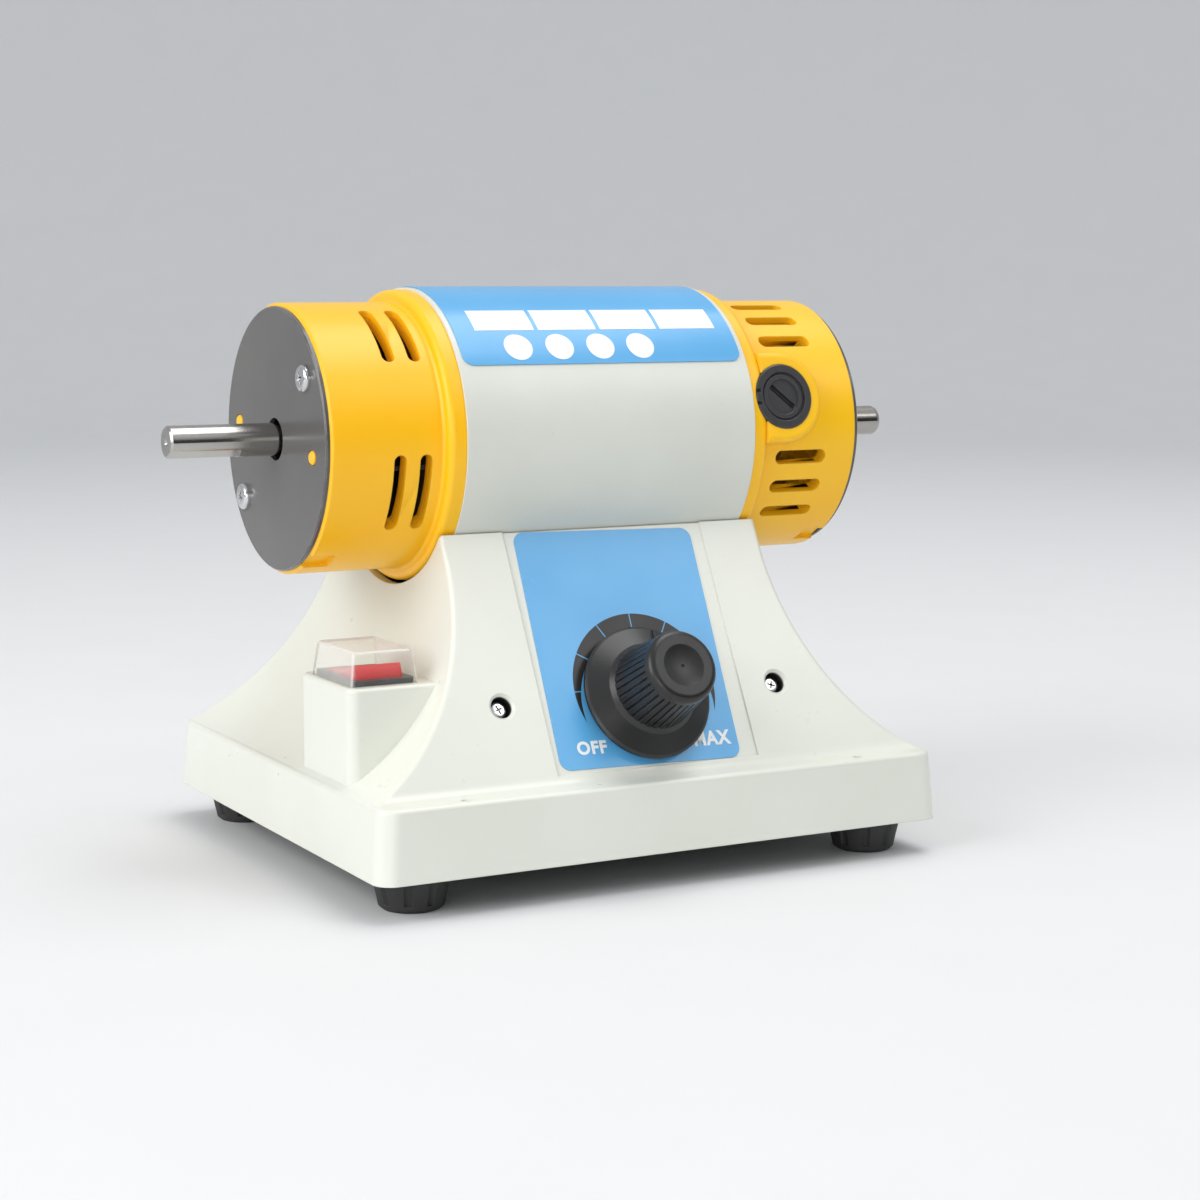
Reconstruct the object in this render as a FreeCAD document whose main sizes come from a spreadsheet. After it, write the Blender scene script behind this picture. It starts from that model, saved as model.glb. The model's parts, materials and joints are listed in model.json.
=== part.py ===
import FreeCAD, Part
import math
import os
import re
import Sketcher
from FreeCAD import Vector

# A small two-ended bench polishing lathe. A universal motor in a painted tube lies across a hollow
# moulded base. Its shaft comes out of both end caps, a knob on the sloping front sets the speed and
# a rocker switch under a clear cover sits in a pod on the left flare.
# Frame: +X along the shaft to the right, -Y to the front, +Z up, origin on the floor under the middle.

doc = FreeCAD.newDocument("polishing_lathe")
sheet = doc.addObject("Spreadsheet::Sheet", "dims")

# Driving sizes, in millimetres and degrees. Angles round the spindle count from the front, upward.
SIZES = {
    # feet and base
    "foot_height": 11.0,
    "foot_radius": 11.9,
    "foot_floor_radius": 9.4,
    "foot_edge": 1.0,
    "foot_flutes": 9,
    "foot_flute_radius": 1.5,
    "foot_flute_depth": 0.7,
    "foot_flute_start": 2.0,
    "foot_inset_side": 17.4,
    "foot_inset_front": 17.7,
    "skirt_half_length": 96.4,
    "skirt_half_depth": 84.1,
    "skirt_height": 21.45,
    "skirt_draft": 1.53,
    "skirt_corner": 6.0,
    "skirt_edge": 1.5,
    "front_foot": 74.8,
    "back_foot": 80.0,
    "front_ledge_fillet": 5.0,
    "back_ledge_fillet": 1.0,
    "waist_half_width": 55.4,
    "waist_height": 96.0,
    "cradle_drop": 27.65,
    "cradle_gap": 0.45,
    "rim_land": 0.3,
    "column_edge": 1.6,
    "wall": 3.0,
    "floor_thickness": 2.0,
    "post_radius": 4.5,
    "vent_length": 26.0,
    "vent_width": 3.0,
    "vent_front": 45.0,
    "dimple_across": 67.5,
    "dimple_inset": 5.0,
    "dimple_radius": 1.4,
    "dimple_depth": 0.5,
    # spindle and motor tube
    "spindle_height": 131.25,
    "shaft_radius": 5.0,
    "shaft_half_length": 127.2,
    "shaft_core_radius": 6.2,
    "shaft_tip_round": 2.3,
    "relief_depth": 0.4,
    "flat_length": 21.7,
    "flat_depth": 0.95,
    "flat_angle": -67.0,
    "tube_radius": 45.5,
    "tube_wall": 1.8,
    "tube_half_length": 50.0,
    # end caps and end plates
    "cap_radius": 41.0,
    "cap_wall": 2.5,
    "cap_end": 91.5,
    "cap_edge": 1.0,
    "end_wall": 3.0,
    "flange_inset": 0.7,
    "flange_width": 5.5,
    "flange_edge": 2.0,
    "spigot_length": 8.0,
    "end_bore": 9.0,
    "rib_thickness": 2.0,
    "rim_notch_angle": -60.5,
    "rim_notch_size": 8.0,
    "end_plate_thickness": 1.4,
    "end_plate_bore": 6.5,
    "plate_screw_inset": 9.34,
    "plate_screw_angle": 37.56,
    "peg_inset": 11.27,
    "peg_angle": 7.15,
    "peg_radius": 2.15,
    "peg_hole_length": 5.8,
    "peg_hole_width": 4.6,
    "left_slot_first": 61.3,
    "left_slot_pitch": 8.35,
    "left_slot_width": 4.0,
    "left_slot_span": 29.0,
    "left_slot_upper": 53.2,
    "left_slot_lower": -21.5,
    "right_slot_middle": 70.6,
    "right_slot_length": 19.0,
    "right_slot_width": 4.4,
    "right_slot_upper": 57.9,
    "right_slot_lower": -25.5,
    "right_slot_step": 14.1,
    # bearings
    "bearing_radius": 13.0,
    "bearing_width": 8.0,
    "race_wall": 2.4,
    "ball_radius": 2.35,
    "running_gap": 0.05,
    "seat_gap": 0.05,
    # stator and armature
    "stator_half_length": 30.0,
    "yoke_wall": 6.5,
    "pole_span": 60.0,
    "armature_radius": 24.0,
    "air_gap": 0.6,
    "coil_inner": 28.0,
    "coil_outer": 35.5,
    "coil_span": 104.0,
    "coil_overhang": 9.0,
    "winding_radius": 22.0,
    "winding_overhang": 12.0,
    "core_slot_width": 3.0,
    "core_slot_depth": 8.0,
    "commutator_radius": 13.0,
    "commutator_start": 46.0,
    "commutator_length": 24.0,
    "riser_width": 4.0,
    "fan_gap": 3.0,
    "fan_start": 57.5,
    "fan_width": 14.5,
    "fan_sheet": 1.5,
    "fan_hub_radius": 12.0,
    # brush gear
    "brush_middle": 62.0,
    "brush_lift": 15.0,
    "brush_boss_radius": 14.5,
    "brush_boss_rise": 3.4,
    "brush_boss_edge": 1.8,
    "brush_tube_radius": 8.6,
    "brush_tube_start": 15.5,
    "brush_flange_radius": 10.4,
    "brush_flange_width": 3.0,
    "brush_flange_proud": 0.5,
    "brush_cap_radius": 7.4,
    "brush_cap_length": 6.0,
    "brush_cap_slot": 10.4,
    "brush_cap_turn": -42.0,
    "brush_width": 6.4,
    "brush_thickness": 5.0,
    "brush_length": 13.7,
    "brush_gap": 0.3,
    "spring_radius": 2.0,
    "spring_wire": 0.35,
    "spring_pitch": 2.1,
    # motor bracket
    "bracket_sheet": 2.0,
    "bracket_half_width": 46.0,
    "bracket_foot_width": 53.0,
    "bracket_offset": 12.0,
    "bracket_bottom": 46.0,
    "bracket_shoulder": 66.0,
    "side_screw_across": 47.6,
    "side_screw_height": 55.3,
    "side_hole_radius": 3.35,
    "side_hole_bevel": 0.8,
    "side_hole_depth": 5.0,
    "side_screw_length": 15.5,
    "side_tube_wall": 2.15,
    "nut_radius": 4.04,
    "nut_height": 3.2,
    "tube_screw_across": 37.5,
    # speed control
    "knob_height": 54.9,
    "knob_skirt_radius": 20.9,
    "knob_skirt_edge": 2.0,
    "knob_skirt_rise": 2.6,
    "knob_lift": 2.1,
    "knob_reach": 27.4,
    "grip_base_radius": 13.2,
    "grip_end_radius": 11.4,
    "grip_round": 2.2,
    "dish_radius": 6.6,
    "dish_depth": 0.8,
    "dish_curve": 27.0,
    "flute_count": 36,
    "flute_depth": 0.75,
    "pointer_angle": 17.0,
    "pointer_length": 6.5,
    "pointer_width": 1.3,
    "pointer_depth": 0.8,
    "pot_radius": 12.0,
    "pot_depth": 10.0,
    "pot_shaft_radius": 3.0,
    "pot_bushing_radius": 4.5,
    "pot_bushing_length": 5.5,
    "pot_nut_radius": 6.9,
    "washer_thickness": 0.8,
    # front label field and labels
    "panel_half_width": 34.7,
    "panel_depth": 0.6,
    "label_thickness": 0.3,
    "label_half_width": 30.9,
    "label_margin": 0.9,
    "label_shift": -1.25,
    "label_turn": -1.34,
    "label_corner": 3.5,
    "motor_label_half_length": 48.3,
    "motor_label_start": 30.0,
    "motor_label_span": 76.0,
    # switch pod and switch
    "pod_gap": 0.5,
    "pod_front": 52.0,
    "pod_back": 14.0,
    "pod_top": 62.0,
    "pod_corner": 3.4,
    "pod_edge": 1.2,
    "switch_across": 78.8,
    "switch_front": 33.75,
    "switch_body_width": 18.4,
    "switch_body_length": 26.8,
    "switch_body_depth": 17.0,
    "bezel_width": 19.8,
    "bezel_length": 28.3,
    "bezel_height": 1.6,
    "bezel_corner": 1.5,
    "cover_height": 10.4,
    "cover_wall": 0.9,
    "cover_taper": 1.2,
    "cover_fit": 0.2,
    "rocker_width": 14.6,
    "rocker_radius": 11.2,
    "rocker_pivot_radius": 1.5,
    "rocker_swing": 10.0,
    "rocker_gap": 0.4,
    # electronics and mains inlet
    "board_length": 78.0,
    "board_width": 50.0,
    "board_thickness": 1.6,
    "board_lift": 6.0,
    "board_back": 12.0,
    "board_screw_inset": 5.0,
    "spacer_radius": 3.5,
    "gland_radius": 6.2,
    "gland_reach": 7.0,
    "gland_height": 21.7,
    "cord_bore": 3.2,
    # screws and plain clearances
    "screw_radius": 1.9,
    "small_screw_radius": 1.4,
    "screw_head_radius": 4.1,
    "screw_head_height": 2.0,
    "hole_gap": 0.15,
    "body_gap": 0.3,
}

for row, (name, size) in enumerate(SIZES.items(), start=1):
    sheet.set(f"A{row}", name)
    sheet.set(f"B{row}", str(size))
    sheet.setAlias(f"B{row}", name)
doc.recompute()


# ---- formulas and frames ----------------------------------------------------------------------

def cells(formula):
    """A formula in the sizes' own names, as the document's expressions spell it."""
    return re.sub(r"[a-z][a-z_]+", lambda word: "dims." + word[0] if word[0] in SIZES else word[0], str(formula))


def number(formula):
    """What a formula in the sizes comes to."""
    return float(sheet.evalExpression(cells(formula)))


def bind(item, prop, formula):
    """Tie one property of a feature to a formula in the sizes."""
    item.setExpression(prop, cells(formula))


def at(x="0", y="0", z="0"):
    """A move."""
    return f"placement(vector({x}; {y}; {z}); rotation(vector(0; 0; 1); 0))"


def turn(axis, degrees):
    """A turn about one axis, X, Y or Z."""
    vector = {"X": "1; 0; 0", "Y": "0; 1; 0", "Z": "0; 0; 1"}[axis]
    return f"placement(vector(0; 0; 0); rotation(vector({vector}); {degrees}))"


def frame(*steps):
    """Moves and turns one after the other, each in the frame that the last one left."""
    return " * ".join(steps)


# Heights of the base, and the lean of its two sloping faces away from the upright.
SKIRT_TOP = "(foot_height + skirt_height)"
FLOOR_TOP = "(foot_height + floor_thickness)"
COLUMN_TOP = "(spindle_height - cradle_drop)"
WAIST = "waist_height"
CRADLE = "(tube_radius + cradle_gap)"
RIM = f"(sqrt({CRADLE}^2 - cradle_drop^2) + rim_land)"
FRONT_LEAN = f"(atan((front_foot - {RIM}) / ({COLUMN_TOP} - {SKIRT_TOP})) / 1 deg)"
BACK_LEAN = f"(atan((back_foot - {RIM}) / ({COLUMN_TOP} - {SKIRT_TOP})) / 1 deg)"
SLOPES = {"front": ("front_foot", FRONT_LEAN), "back": ("back_foot", BACK_LEAN)}


def slope_out(side, height, inset="0"):
    """How far out a sloping face is at a height, or a plane that lies the inset inside it."""
    foot, lean = SLOPES[side]
    return f"({foot} - ({height} - {SKIRT_TOP}) * tan({lean}) - ({inset}) / cos({lean}))"


def slope_frame(side, across, height):
    """A frame on a sloping face: x level, y up the slope, z out of the face."""
    lean = SLOPES[side][1]
    if side == "front":
        return frame(at(across, f"-{slope_out(side, height)}", height), turn("X", f"90 - {lean}"))
    return frame(at(across, slope_out(side, height), height), turn("Z", "180"), turn("X", f"90 - {lean}"))


# The knob's frame lies on the floor of the shallow field that the front label fills.
PANEL = frame(slope_frame("front", "0", "knob_height"), at("0", "0", "-panel_depth"))
PANEL_UP = f"(({COLUMN_TOP} - knob_height) / cos({FRONT_LEAN}))"
PANEL_DOWN = (f"((knob_height - {SKIRT_TOP}) / cos({FRONT_LEAN})"
              f" - front_ledge_fillet * tan((90 - {FRONT_LEAN}) / 2))")
PANEL_WALL = "(wall - panel_depth)"

# Frames on the spindle's line, z outward along the shaft.
SPINDLE = at("0", "0", "spindle_height")
ENDS = {"left": frame(SPINDLE, turn("Y", "-90")), "right": frame(SPINDLE, turn("Y", "90"))}
LEVEL = turn("Z", "-90")                     # sets an outline of the turned parts level with the spindle
SIGNS = {"left": "-1", "right": "1"}
BRUSHES = {"front": "brush_lift", "back": "180 + brush_lift"}


def radial(along, angle):
    """A frame on the spindle's line, z square out of it at an angle above the front, x to the right."""
    return frame(SPINDLE, at(along), turn("X", f"90 - ({angle})"))


# ---- features ---------------------------------------------------------------------------------

nodes = []


def node(item):
    """List a finished sub-part, which goes out under its own name."""
    item.Label = item.Name
    nodes.append(item)


def add(kind, name, place=None, **sizes):
    """A primitive whose sizes are formulas."""
    item = doc.addObject("Part::" + kind, name)
    for prop, formula in sizes.items():
        bind(item, prop, formula)
    if place:
        bind(item, "Placement", place)
    return item


def rod(name, radius, length, place, **sizes):
    """A cylinder standing on the frame's origin, along z."""
    return add("Cylinder", name, place, Radius=radius, Height=length, **sizes)


def block(name, sizes, place, standing=False):
    """A box about the frame's origin, or standing on it."""
    x, y, z = (f"({size})" for size in sizes)
    low = "0" if standing else f"-{z} / 2"
    return add("Box", name, frame(place, at(f"-{x} / 2", f"-{y} / 2", low)), Length=x, Width=y, Height=z)


def cut(name, base, tools):
    """One solid less others."""
    item = doc.addObject("Part::Cut", name)
    item.Base = base
    item.Tool = tools[0] if len(tools) == 1 else joined(name + "_tools", tools)
    return item


def joined(name, pieces):
    """Several solids made one."""
    item = doc.addObject("Part::MultiFuse", name)
    item.Shapes = pieces
    item.Refine = True
    return item


def common(name, pieces):
    """What several solids share."""
    item = doc.addObject("Part::MultiCommon", name)
    item.Shapes = pieces
    return item


def group(name, pieces):
    """Separate solids in one sub-part."""
    item = doc.addObject("Part::Compound", name)
    item.Links = pieces
    return item


def rounded(name, base, radius, chosen):
    """Round the edges whose centre passes a test."""
    doc.recompute()
    size = number(radius)
    item = doc.addObject("Part::Fillet", name)
    item.Base = base
    item.Edges = [(index, size, size) for index, edge in enumerate(base.Shape.Edges, start=1)
                  if chosen(edge.CenterOfMass)]
    return item


def sketch(part, name, role, lift="0"):
    """A sketch on one of a body's own planes, or parallel to it."""
    flat = part.newObject("Sketcher::SketchObject", name)
    plane = [item for item in part.Origin.OriginFeatures if item.Role == role][0]
    flat.AttachmentSupport = [(plane, "")]
    flat.MapMode = "FlatFace"
    bind(flat, "AttachmentOffset.Base.z", lift)
    return flat


def constrain(flat, kind, formula, *where):
    """Add a dimension to a sketch and tie it to a formula."""
    value = number(formula)
    spot = flat.addConstraint(Sketcher.Constraint(kind, *where, value))
    bind(flat, f"Constraints[{spot}]", formula)


def outline(flat, corners):
    """Draw a closed outline anticlockwise. A corner is x, y and, where an arc leaves it, the arc's
    radius: positive where the outline bulges, negative where it is hollow."""
    spots = [Vector(number(corner[0]), number(corner[1]), 0) for corner in corners]
    edges = []
    for corner, start, end in zip(corners, spots, spots[1:] + spots[:1]):
        if len(corner) == 2:
            edges.append((flat.addGeometry(Part.LineSegment(start, end)), 1, 2))
            continue
        radius = number(corner[2])
        chord = end - start
        left = Vector(-chord.y, chord.x, 0).normalize()
        rise = math.sqrt(radius ** 2 - chord.Length ** 2 / 4)
        centre = (start + end) / 2 + left * math.copysign(rise, radius)
        first, last = (start, end) if radius > 0 else (end, start)
        angles = [math.atan2(spot.y - centre.y, spot.x - centre.x) for spot in (first, last)]
        circle = Part.Circle(centre, Vector(0, 0, 1), abs(radius))
        edge = flat.addGeometry(Part.ArcOfCircle(circle, *angles))
        edges.append((edge, 1, 2) if radius > 0 else (edge, 2, 1))
    for (edge, _, last), (follower, first, _) in zip(edges, edges[1:] + edges[:1]):
        flat.addConstraint(Sketcher.Constraint("Coincident", edge, last, follower, first))
    for corner, (edge, first, _) in zip(corners, edges):
        constrain(flat, "DistanceX", corner[0], -1, 1, edge, first)
        constrain(flat, "DistanceY", corner[1], -1, 1, edge, first)
        if len(corner) == 3:
            constrain(flat, "Radius", f"abs({corner[2]})", edge)


def rounded_rectangle(half_x, half_y, radius, x="0", y="0"):
    """The outline of a rectangle with round corners."""
    corners = []
    for side_x, side_y in ((1, -1), (1, 1), (-1, 1), (-1, -1)):
        across = f"({x} + {side_x} * ({half_x}))"
        up = f"({y} + {side_y} * ({half_y}))"
        level = (f"{across} - {side_x} * ({radius})", up)
        upright = (across, f"{up} - {side_y} * ({radius})")
        first, last = (level, upright) if side_x == -side_y else (upright, level)
        corners.append((*first, radius))
        corners.append(last)
    return corners


def padded(name, corners, height, place=None, role="XY_Plane", lift="0"):
    """An outline given a height square to its plane."""
    part = doc.addObject("PartDesign::Body", name)
    if place:
        bind(part, "Placement", place)
    flat = sketch(part, name + "_outline", role, lift)
    outline(flat, corners)
    pad = part.newObject("PartDesign::Pad", name + "_pad")
    pad.Profile = flat
    bind(pad, "Length", height)
    return part


def turned(name, corners, place):
    """A round piece: an outline of radius and height, revolved about the frame's z axis."""
    part = doc.addObject("PartDesign::Body", name)
    bind(part, "Placement", place)
    flat = sketch(part, name + "_outline", "XZ_Plane")
    outline(flat, corners)
    revolution = part.newObject("PartDesign::Revolution", name + "_revolution")
    revolution.Profile = flat
    revolution.ReferenceAxis = (flat, ["V_Axis"])
    revolution.Angle = 360
    return part


def pan_screw(name, place, length, shank="screw_radius", head="screw_head_radius"):
    """A pan-head screw: its head stands on the frame's origin and its shank runs down from there."""
    return turned(name, [
        ("0", f"-({length})"),
        (f"{shank} - 0.4", f"-({length})"),
        (shank, f"-({length}) + 0.8"),
        (shank, "0"),
        (head, "0"),
        (head, "0.4 * screw_head_height"),
        (f"{head} - 0.6 * screw_head_height", "screw_head_height"),
        ("0", "screw_head_height"),
    ], place)


# ---- base -------------------------------------------------------------------------------------

def skirt_block(name, inset, low, high, corner):
    """The drafted lower box of the base, or the space inside it."""
    def half(size, height):
        return f"({size} - skirt_draft * ({height} - foot_height) / skirt_height - {inset})"

    length, depth = "skirt_half_length", "skirt_half_depth"
    box = add("Wedge", name + "_box", turn("X", "90"), Ymin=low, Ymax=high,
              Xmin=f"-{half(length, low)}", Xmax=half(length, low),
              Zmin=f"-{half(depth, low)}", Zmax=half(depth, low),
              X2min=f"-{half(length, high)}", X2max=half(length, high),
              Z2min=f"-{half(depth, high)}", Z2max=half(depth, high))
    bottom, top = number(low), number(high)
    return rounded(name, box, corner, lambda middle: bottom + 0.1 < middle.z < top - 0.1)


def flare_block(name, inset, low, top):
    """The column seen from the front: upright at the waist, flaring to the skirt along one arc."""
    drop = f"({WAIST} - {SKIRT_TOP})"
    spread = "(skirt_half_length - skirt_draft - skirt_edge - waist_half_width)"
    radius = f"(({spread}^2 + {drop}^2) / (2 * {spread}))"
    foot = f"(waist_half_width + {radius} - sqrt(({radius} + {inset})^2 - {drop}^2))"
    waist = f"(waist_half_width - {inset})"
    hollow = f"-1 * ({radius} + {inset})"
    return padded(name, [
        (f"-{foot}", low),
        (foot, low),
        (foot, SKIRT_TOP, hollow),
        (waist, WAIST),
        (waist, top),
        (f"-{waist}", top),
        (f"-{waist}", WAIST, hollow),
        (f"-{foot}", SKIRT_TOP),
    ], "2 * skirt_half_depth", role="XZ_Plane", lift="-skirt_half_depth")


def sloping_block(name, inset, low, top, half_width):
    """A prism between two planes that lie the inset inside the sloping faces."""
    front = {height: f"-{slope_out('front', height, inset)}" for height in (low, top)}
    back = {height: slope_out("back", height, inset) for height in (low, top)}
    return padded(name, [(front[low], low), (back[low], low), (back[top], top), (front[top], top)],
                  f"2 * {half_width}", role="YZ_Plane", lift=f"-{half_width}")


def ledge_corner(side, fillet):
    """Where a sloping face's foot fillet meets the ledge, and where it meets the face."""
    foot, lean = SLOPES[side]
    run = f"({fillet} * tan((90 - {lean}) / 2))"
    return ((f"({foot} + {run})", SKIRT_TOP),
            (f"({foot} - {run} * sin({lean}))", f"({SKIRT_TOP} + {run} * cos({lean}))"))


def base_form():
    """The outer form: skirt, column between its sloping and flaring faces, and switch pod."""
    skirt_top = number(SKIRT_TOP)
    column_top = number(COLUMN_TOP)
    pod_top = number("pod_top")
    skirt = skirt_block("skirt", "0", "foot_height", SKIRT_TOP, "skirt_corner")
    skirt = rounded("skirt_rounded", skirt, "skirt_edge", lambda middle: abs(middle.z - skirt_top) < 0.01)

    flare = flare_block("flare", "0", f"({SKIRT_TOP} - 1)", COLUMN_TOP)
    front_low, front_high = ledge_corner("front", "front_ledge_fillet")
    back_low, back_high = ledge_corner("back", "back_ledge_fillet")
    slopes = padded("slopes", [
        (back_low[0], f"{SKIRT_TOP} - 1"),
        (*back_low, "-back_ledge_fillet"),
        back_high,
        (slope_out("back", COLUMN_TOP), COLUMN_TOP),
        (f"-{slope_out('front', COLUMN_TOP)}", COLUMN_TOP),
        (f"-{front_high[0]}", front_high[1], "-front_ledge_fillet"),
        (f"-{front_low[0]}", front_low[1]),
        (f"-{front_low[0]}", f"{SKIRT_TOP} - 1"),
    ], "2 * skirt_half_length", role="YZ_Plane", lift="-skirt_half_length")
    column = rounded("column", common("column_sharp", [flare, slopes]), "column_edge",
                     lambda middle: abs(middle.x) > 1 and abs(middle.y) > 1
                     and skirt_top + 0.1 < middle.z < column_top - 0.1)

    pod = pod_block("pod", "0", "pod_corner")
    pod = rounded("pod_rounded", pod, "pod_edge", lambda middle: abs(middle.z - pod_top) < 0.01)
    return joined("base_form", [skirt, column, pod])


def pod_block(name, inset, corner):
    """The switch pod, from inside the skirt's top to its own, reaching into the flare."""
    low = f"({SKIRT_TOP} - 1 - {inset})"
    outer = "(switch_across + switch_body_width / 2 + pod_gap + wall)"
    return padded(name, rounded_rectangle(
        f"({outer} - waist_half_width - {inset}) / 2", f"(pod_front - pod_back) / 2 - {inset}", corner,
        f"-({outer} + waist_half_width - {inset}) / 2", "-(pod_front + pod_back) / 2",
    ), f"pod_top - {inset} - {low}", at("0", "0", low))


def base_hollow():
    """The space inside the walls, open below and open above under the motor."""
    low = f"({SKIRT_TOP} - wall - 1)"
    top = f"({COLUMN_TOP} + wall)"
    skirt = skirt_block("skirt_hollow", "wall", "(foot_height - 1)", f"({SKIRT_TOP} - wall)", "skirt_corner - wall")
    column = common("column_hollow", [
        flare_block("flare_hollow", "wall", low, top),
        sloping_block("slopes_hollow", "wall", low, top, "skirt_half_length"),
    ])
    return joined("base_hollow", [skirt, column, pod_block("pod_hollow", "wall", "pod_corner - 0.8 * wall")])


FOOT_SPOTS = [(f"{x} * (skirt_half_length - foot_inset_side)", f"{y} * (skirt_half_depth - foot_inset_front)")
              for x in (-1, 1) for y in (-1, 1)]
SIDE_SPOTS = [(side, f"{x} * side_screw_across") for side in ("front", "back") for x in (-1, 1)]
GLAND = frame(at("0", "skirt_half_depth - skirt_draft * (gland_height - foot_height) / skirt_height", "gland_height"),
              turn("Z", "180"), turn("X", "90 - atan(skirt_draft / skirt_height) / 1 deg"))


def make_base_shell():
    form = base_form()
    walls = cut("base_walls", form, [base_hollow()])

    # Screw posts over the feet, and tubes behind the recessed side holes, trimmed to the outer form.
    posts = []
    pilots = []
    for index, (x, y) in enumerate(FOOT_SPOTS):
        posts.append(rod(f"foot_post_{index}", "post_radius", f"{COLUMN_TOP} - {FLOOR_TOP}", at(x, y, FLOOR_TOP)))
        pilots.append(rod(f"foot_pilot_{index}", "screw_radius + hole_gap", "skirt_height / 2", at(x, y, FLOOR_TOP)))
    for index, (side, x) in enumerate(SIDE_SPOTS):
        spot = slope_frame(side, x, "side_screw_height")
        posts.append(rod(f"side_tube_{index}", "side_hole_radius + side_tube_wall", "bracket_offset",
                         frame(spot, at("0", "0", "-bracket_offset"))))
        pilots.append(turned(f"side_well_{index}", [
            ("0", "-bracket_offset - 1"),
            ("screw_radius + hole_gap", "-bracket_offset - 1"),
            ("screw_radius + hole_gap", "-side_hole_depth"),
            ("side_hole_radius", "-side_hole_depth"),
            ("side_hole_radius", "-side_hole_bevel"),
            ("side_hole_radius + side_hole_bevel", "0"),
            ("side_hole_radius + side_hole_bevel", "1"),
            ("0", "1"),
        ], spot))
    trimmed = common("base_posts", [joined("post_stock", posts), form])
    solid = joined("base_solid", [walls, trimmed])

    openings = [
        rod("cradle", CRADLE, "2 * skirt_half_length", frame(ENDS["right"], at("0", "0", "-skirt_half_length"))),
        block("panel_field", ("2 * panel_half_width", f"{PANEL_UP} + {PANEL_DOWN} + 1", "2"),
              frame(PANEL, at("0", f"({PANEL_UP} - {PANEL_DOWN} + 1) / 2")), standing=True),
        rod("pot_hole", "pot_bushing_radius + hole_gap", "4 * wall", frame(PANEL, at("0", "0", "-2 * wall"))),
        block("switch_hole", ("switch_body_width + 2 * hole_gap", "switch_body_length + 2 * hole_gap", "4 * wall"),
              at("-switch_across", "-switch_front", "pod_top")),
        rod("gland_hole", "gland_radius - 1.2 + hole_gap", "4 * wall", frame(GLAND, at("0", "0", "-2 * wall"))),
    ]
    for side in (-1, 1):
        openings.append(rod(f"ledge_dimple_{side + 1}", "dimple_radius", "2 * dimple_depth", at(
            f"{side} * dimple_across", "dimple_inset - skirt_half_depth", f"{SKIRT_TOP} - dimple_depth")))
    node(cut("base_shell", solid, openings + pilots))


def make_floor():
    """The plate that closes the base from below, with its vents, and the four screwed feet."""
    blank = padded("floor_blank", rounded_rectangle(
        "skirt_half_length - wall - body_gap", "skirt_half_depth - wall - body_gap", "skirt_corner - wall",
    ), "floor_thickness", at("0", "0", "foot_height"))
    holes = [rod(f"floor_hole_{index}", "screw_radius + hole_gap", "3 * floor_thickness",
                 at(x, y, "foot_height - floor_thickness")) for index, (x, y) in enumerate(FOOT_SPOTS)]
    for side in (-1, 1):
        for row in range(5):
            holes.append(block(f"vent_{side + 1}_{row}", ("vent_length", "vent_width", "3 * floor_thickness"),
                               at(f"{side} * 0.9 * vent_length", f"{row - 2} * 3 * vent_width - vent_front",
                                  "foot_height + floor_thickness / 2")))
    node(cut("bottom_plate", blank, holes))

    feet = []
    screws = []
    for index, (x, y) in enumerate(FOOT_SPOTS):
        feet.append(make_foot(index, at(x, y)))
        screws.append(pan_screw(f"foot_screw_{index}", frame(at(x, y, "foot_height / 2"), turn("X", "180")),
                                "foot_height + 4"))
    node(group("rubber_feet", feet))
    node(group("foot_screws", screws))


def make_foot(index, place):
    """A tapered foot with upright flutes round it and a recess for its screw from below."""
    rise = "(foot_radius - foot_floor_radius) / foot_height"
    lean = f"atan({rise}) / 1 deg"
    blank = turned(f"foot_blank_{index}", [
        ("screw_head_radius + 0.8", "0"),
        ("foot_floor_radius - foot_edge", "0"),
        (f"foot_floor_radius + {rise} * foot_edge", "foot_edge"),
        ("foot_radius", "foot_height"),
        ("screw_radius + hole_gap", "foot_height"),
        ("screw_radius + hole_gap", "foot_height / 2"),
        ("screw_head_radius + 0.8", "foot_height / 2"),
    ], place)
    out = "(foot_flute_radius - foot_flute_depth)"
    flutes = [rod(f"foot_flute_{index}_{flute}", "foot_flute_radius", "foot_height", frame(
        place, turn("Z", f"{flute} * 360 / foot_flutes"),
        at(f"foot_floor_radius + {rise} * foot_flute_start + {out}", "0", "foot_flute_start"), turn("Y", lean)))
        for flute in range(SIZES["foot_flutes"])]
    return cut(f"foot_{index}", blank, flutes)


# ---- motor housing ----------------------------------------------------------------------------

FLANGE_END = "(tube_half_length + flange_width)"
FLANGE_RADIUS = "(tube_radius - flange_inset)"
CAP_INNER = "(cap_radius - cap_wall)"
TUBE_INNER = "(tube_radius - tube_wall)"
SPIGOT_RADIUS = f"({TUBE_INNER} - body_gap)"
END_INNER = "(cap_end - end_wall)"
BEARING_START = f"({END_INNER} - bearing_width)"
HUB_RADIUS = "(bearing_radius + 3.5)"
PLATE_FACE = "(cap_end + end_plate_thickness)"
RELIEF_START = f"({END_INNER} + 0.5)"
RELIEF_END = f"({PLATE_FACE} + 0.5)"

# On both ends the screws and pegs of the end plate sit opposite each other, as up, across.
PLATE_SCREWS = [(f"{side} * (cap_radius - plate_screw_inset) * sin(plate_screw_angle)",
                 f"-{side} * (cap_radius - plate_screw_inset) * cos(plate_screw_angle)") for side in (1, -1)]
PEGS = [(f"{side} * (cap_radius - peg_inset) * sin(peg_angle)",
         f"{side} * (cap_radius - peg_inset) * cos(peg_angle)") for side in (1, -1)]
FAN_RADIUS = f"({CAP_INNER} - fan_gap)"
BOSS_FACE = "(cap_radius + brush_boss_rise)"


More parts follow.
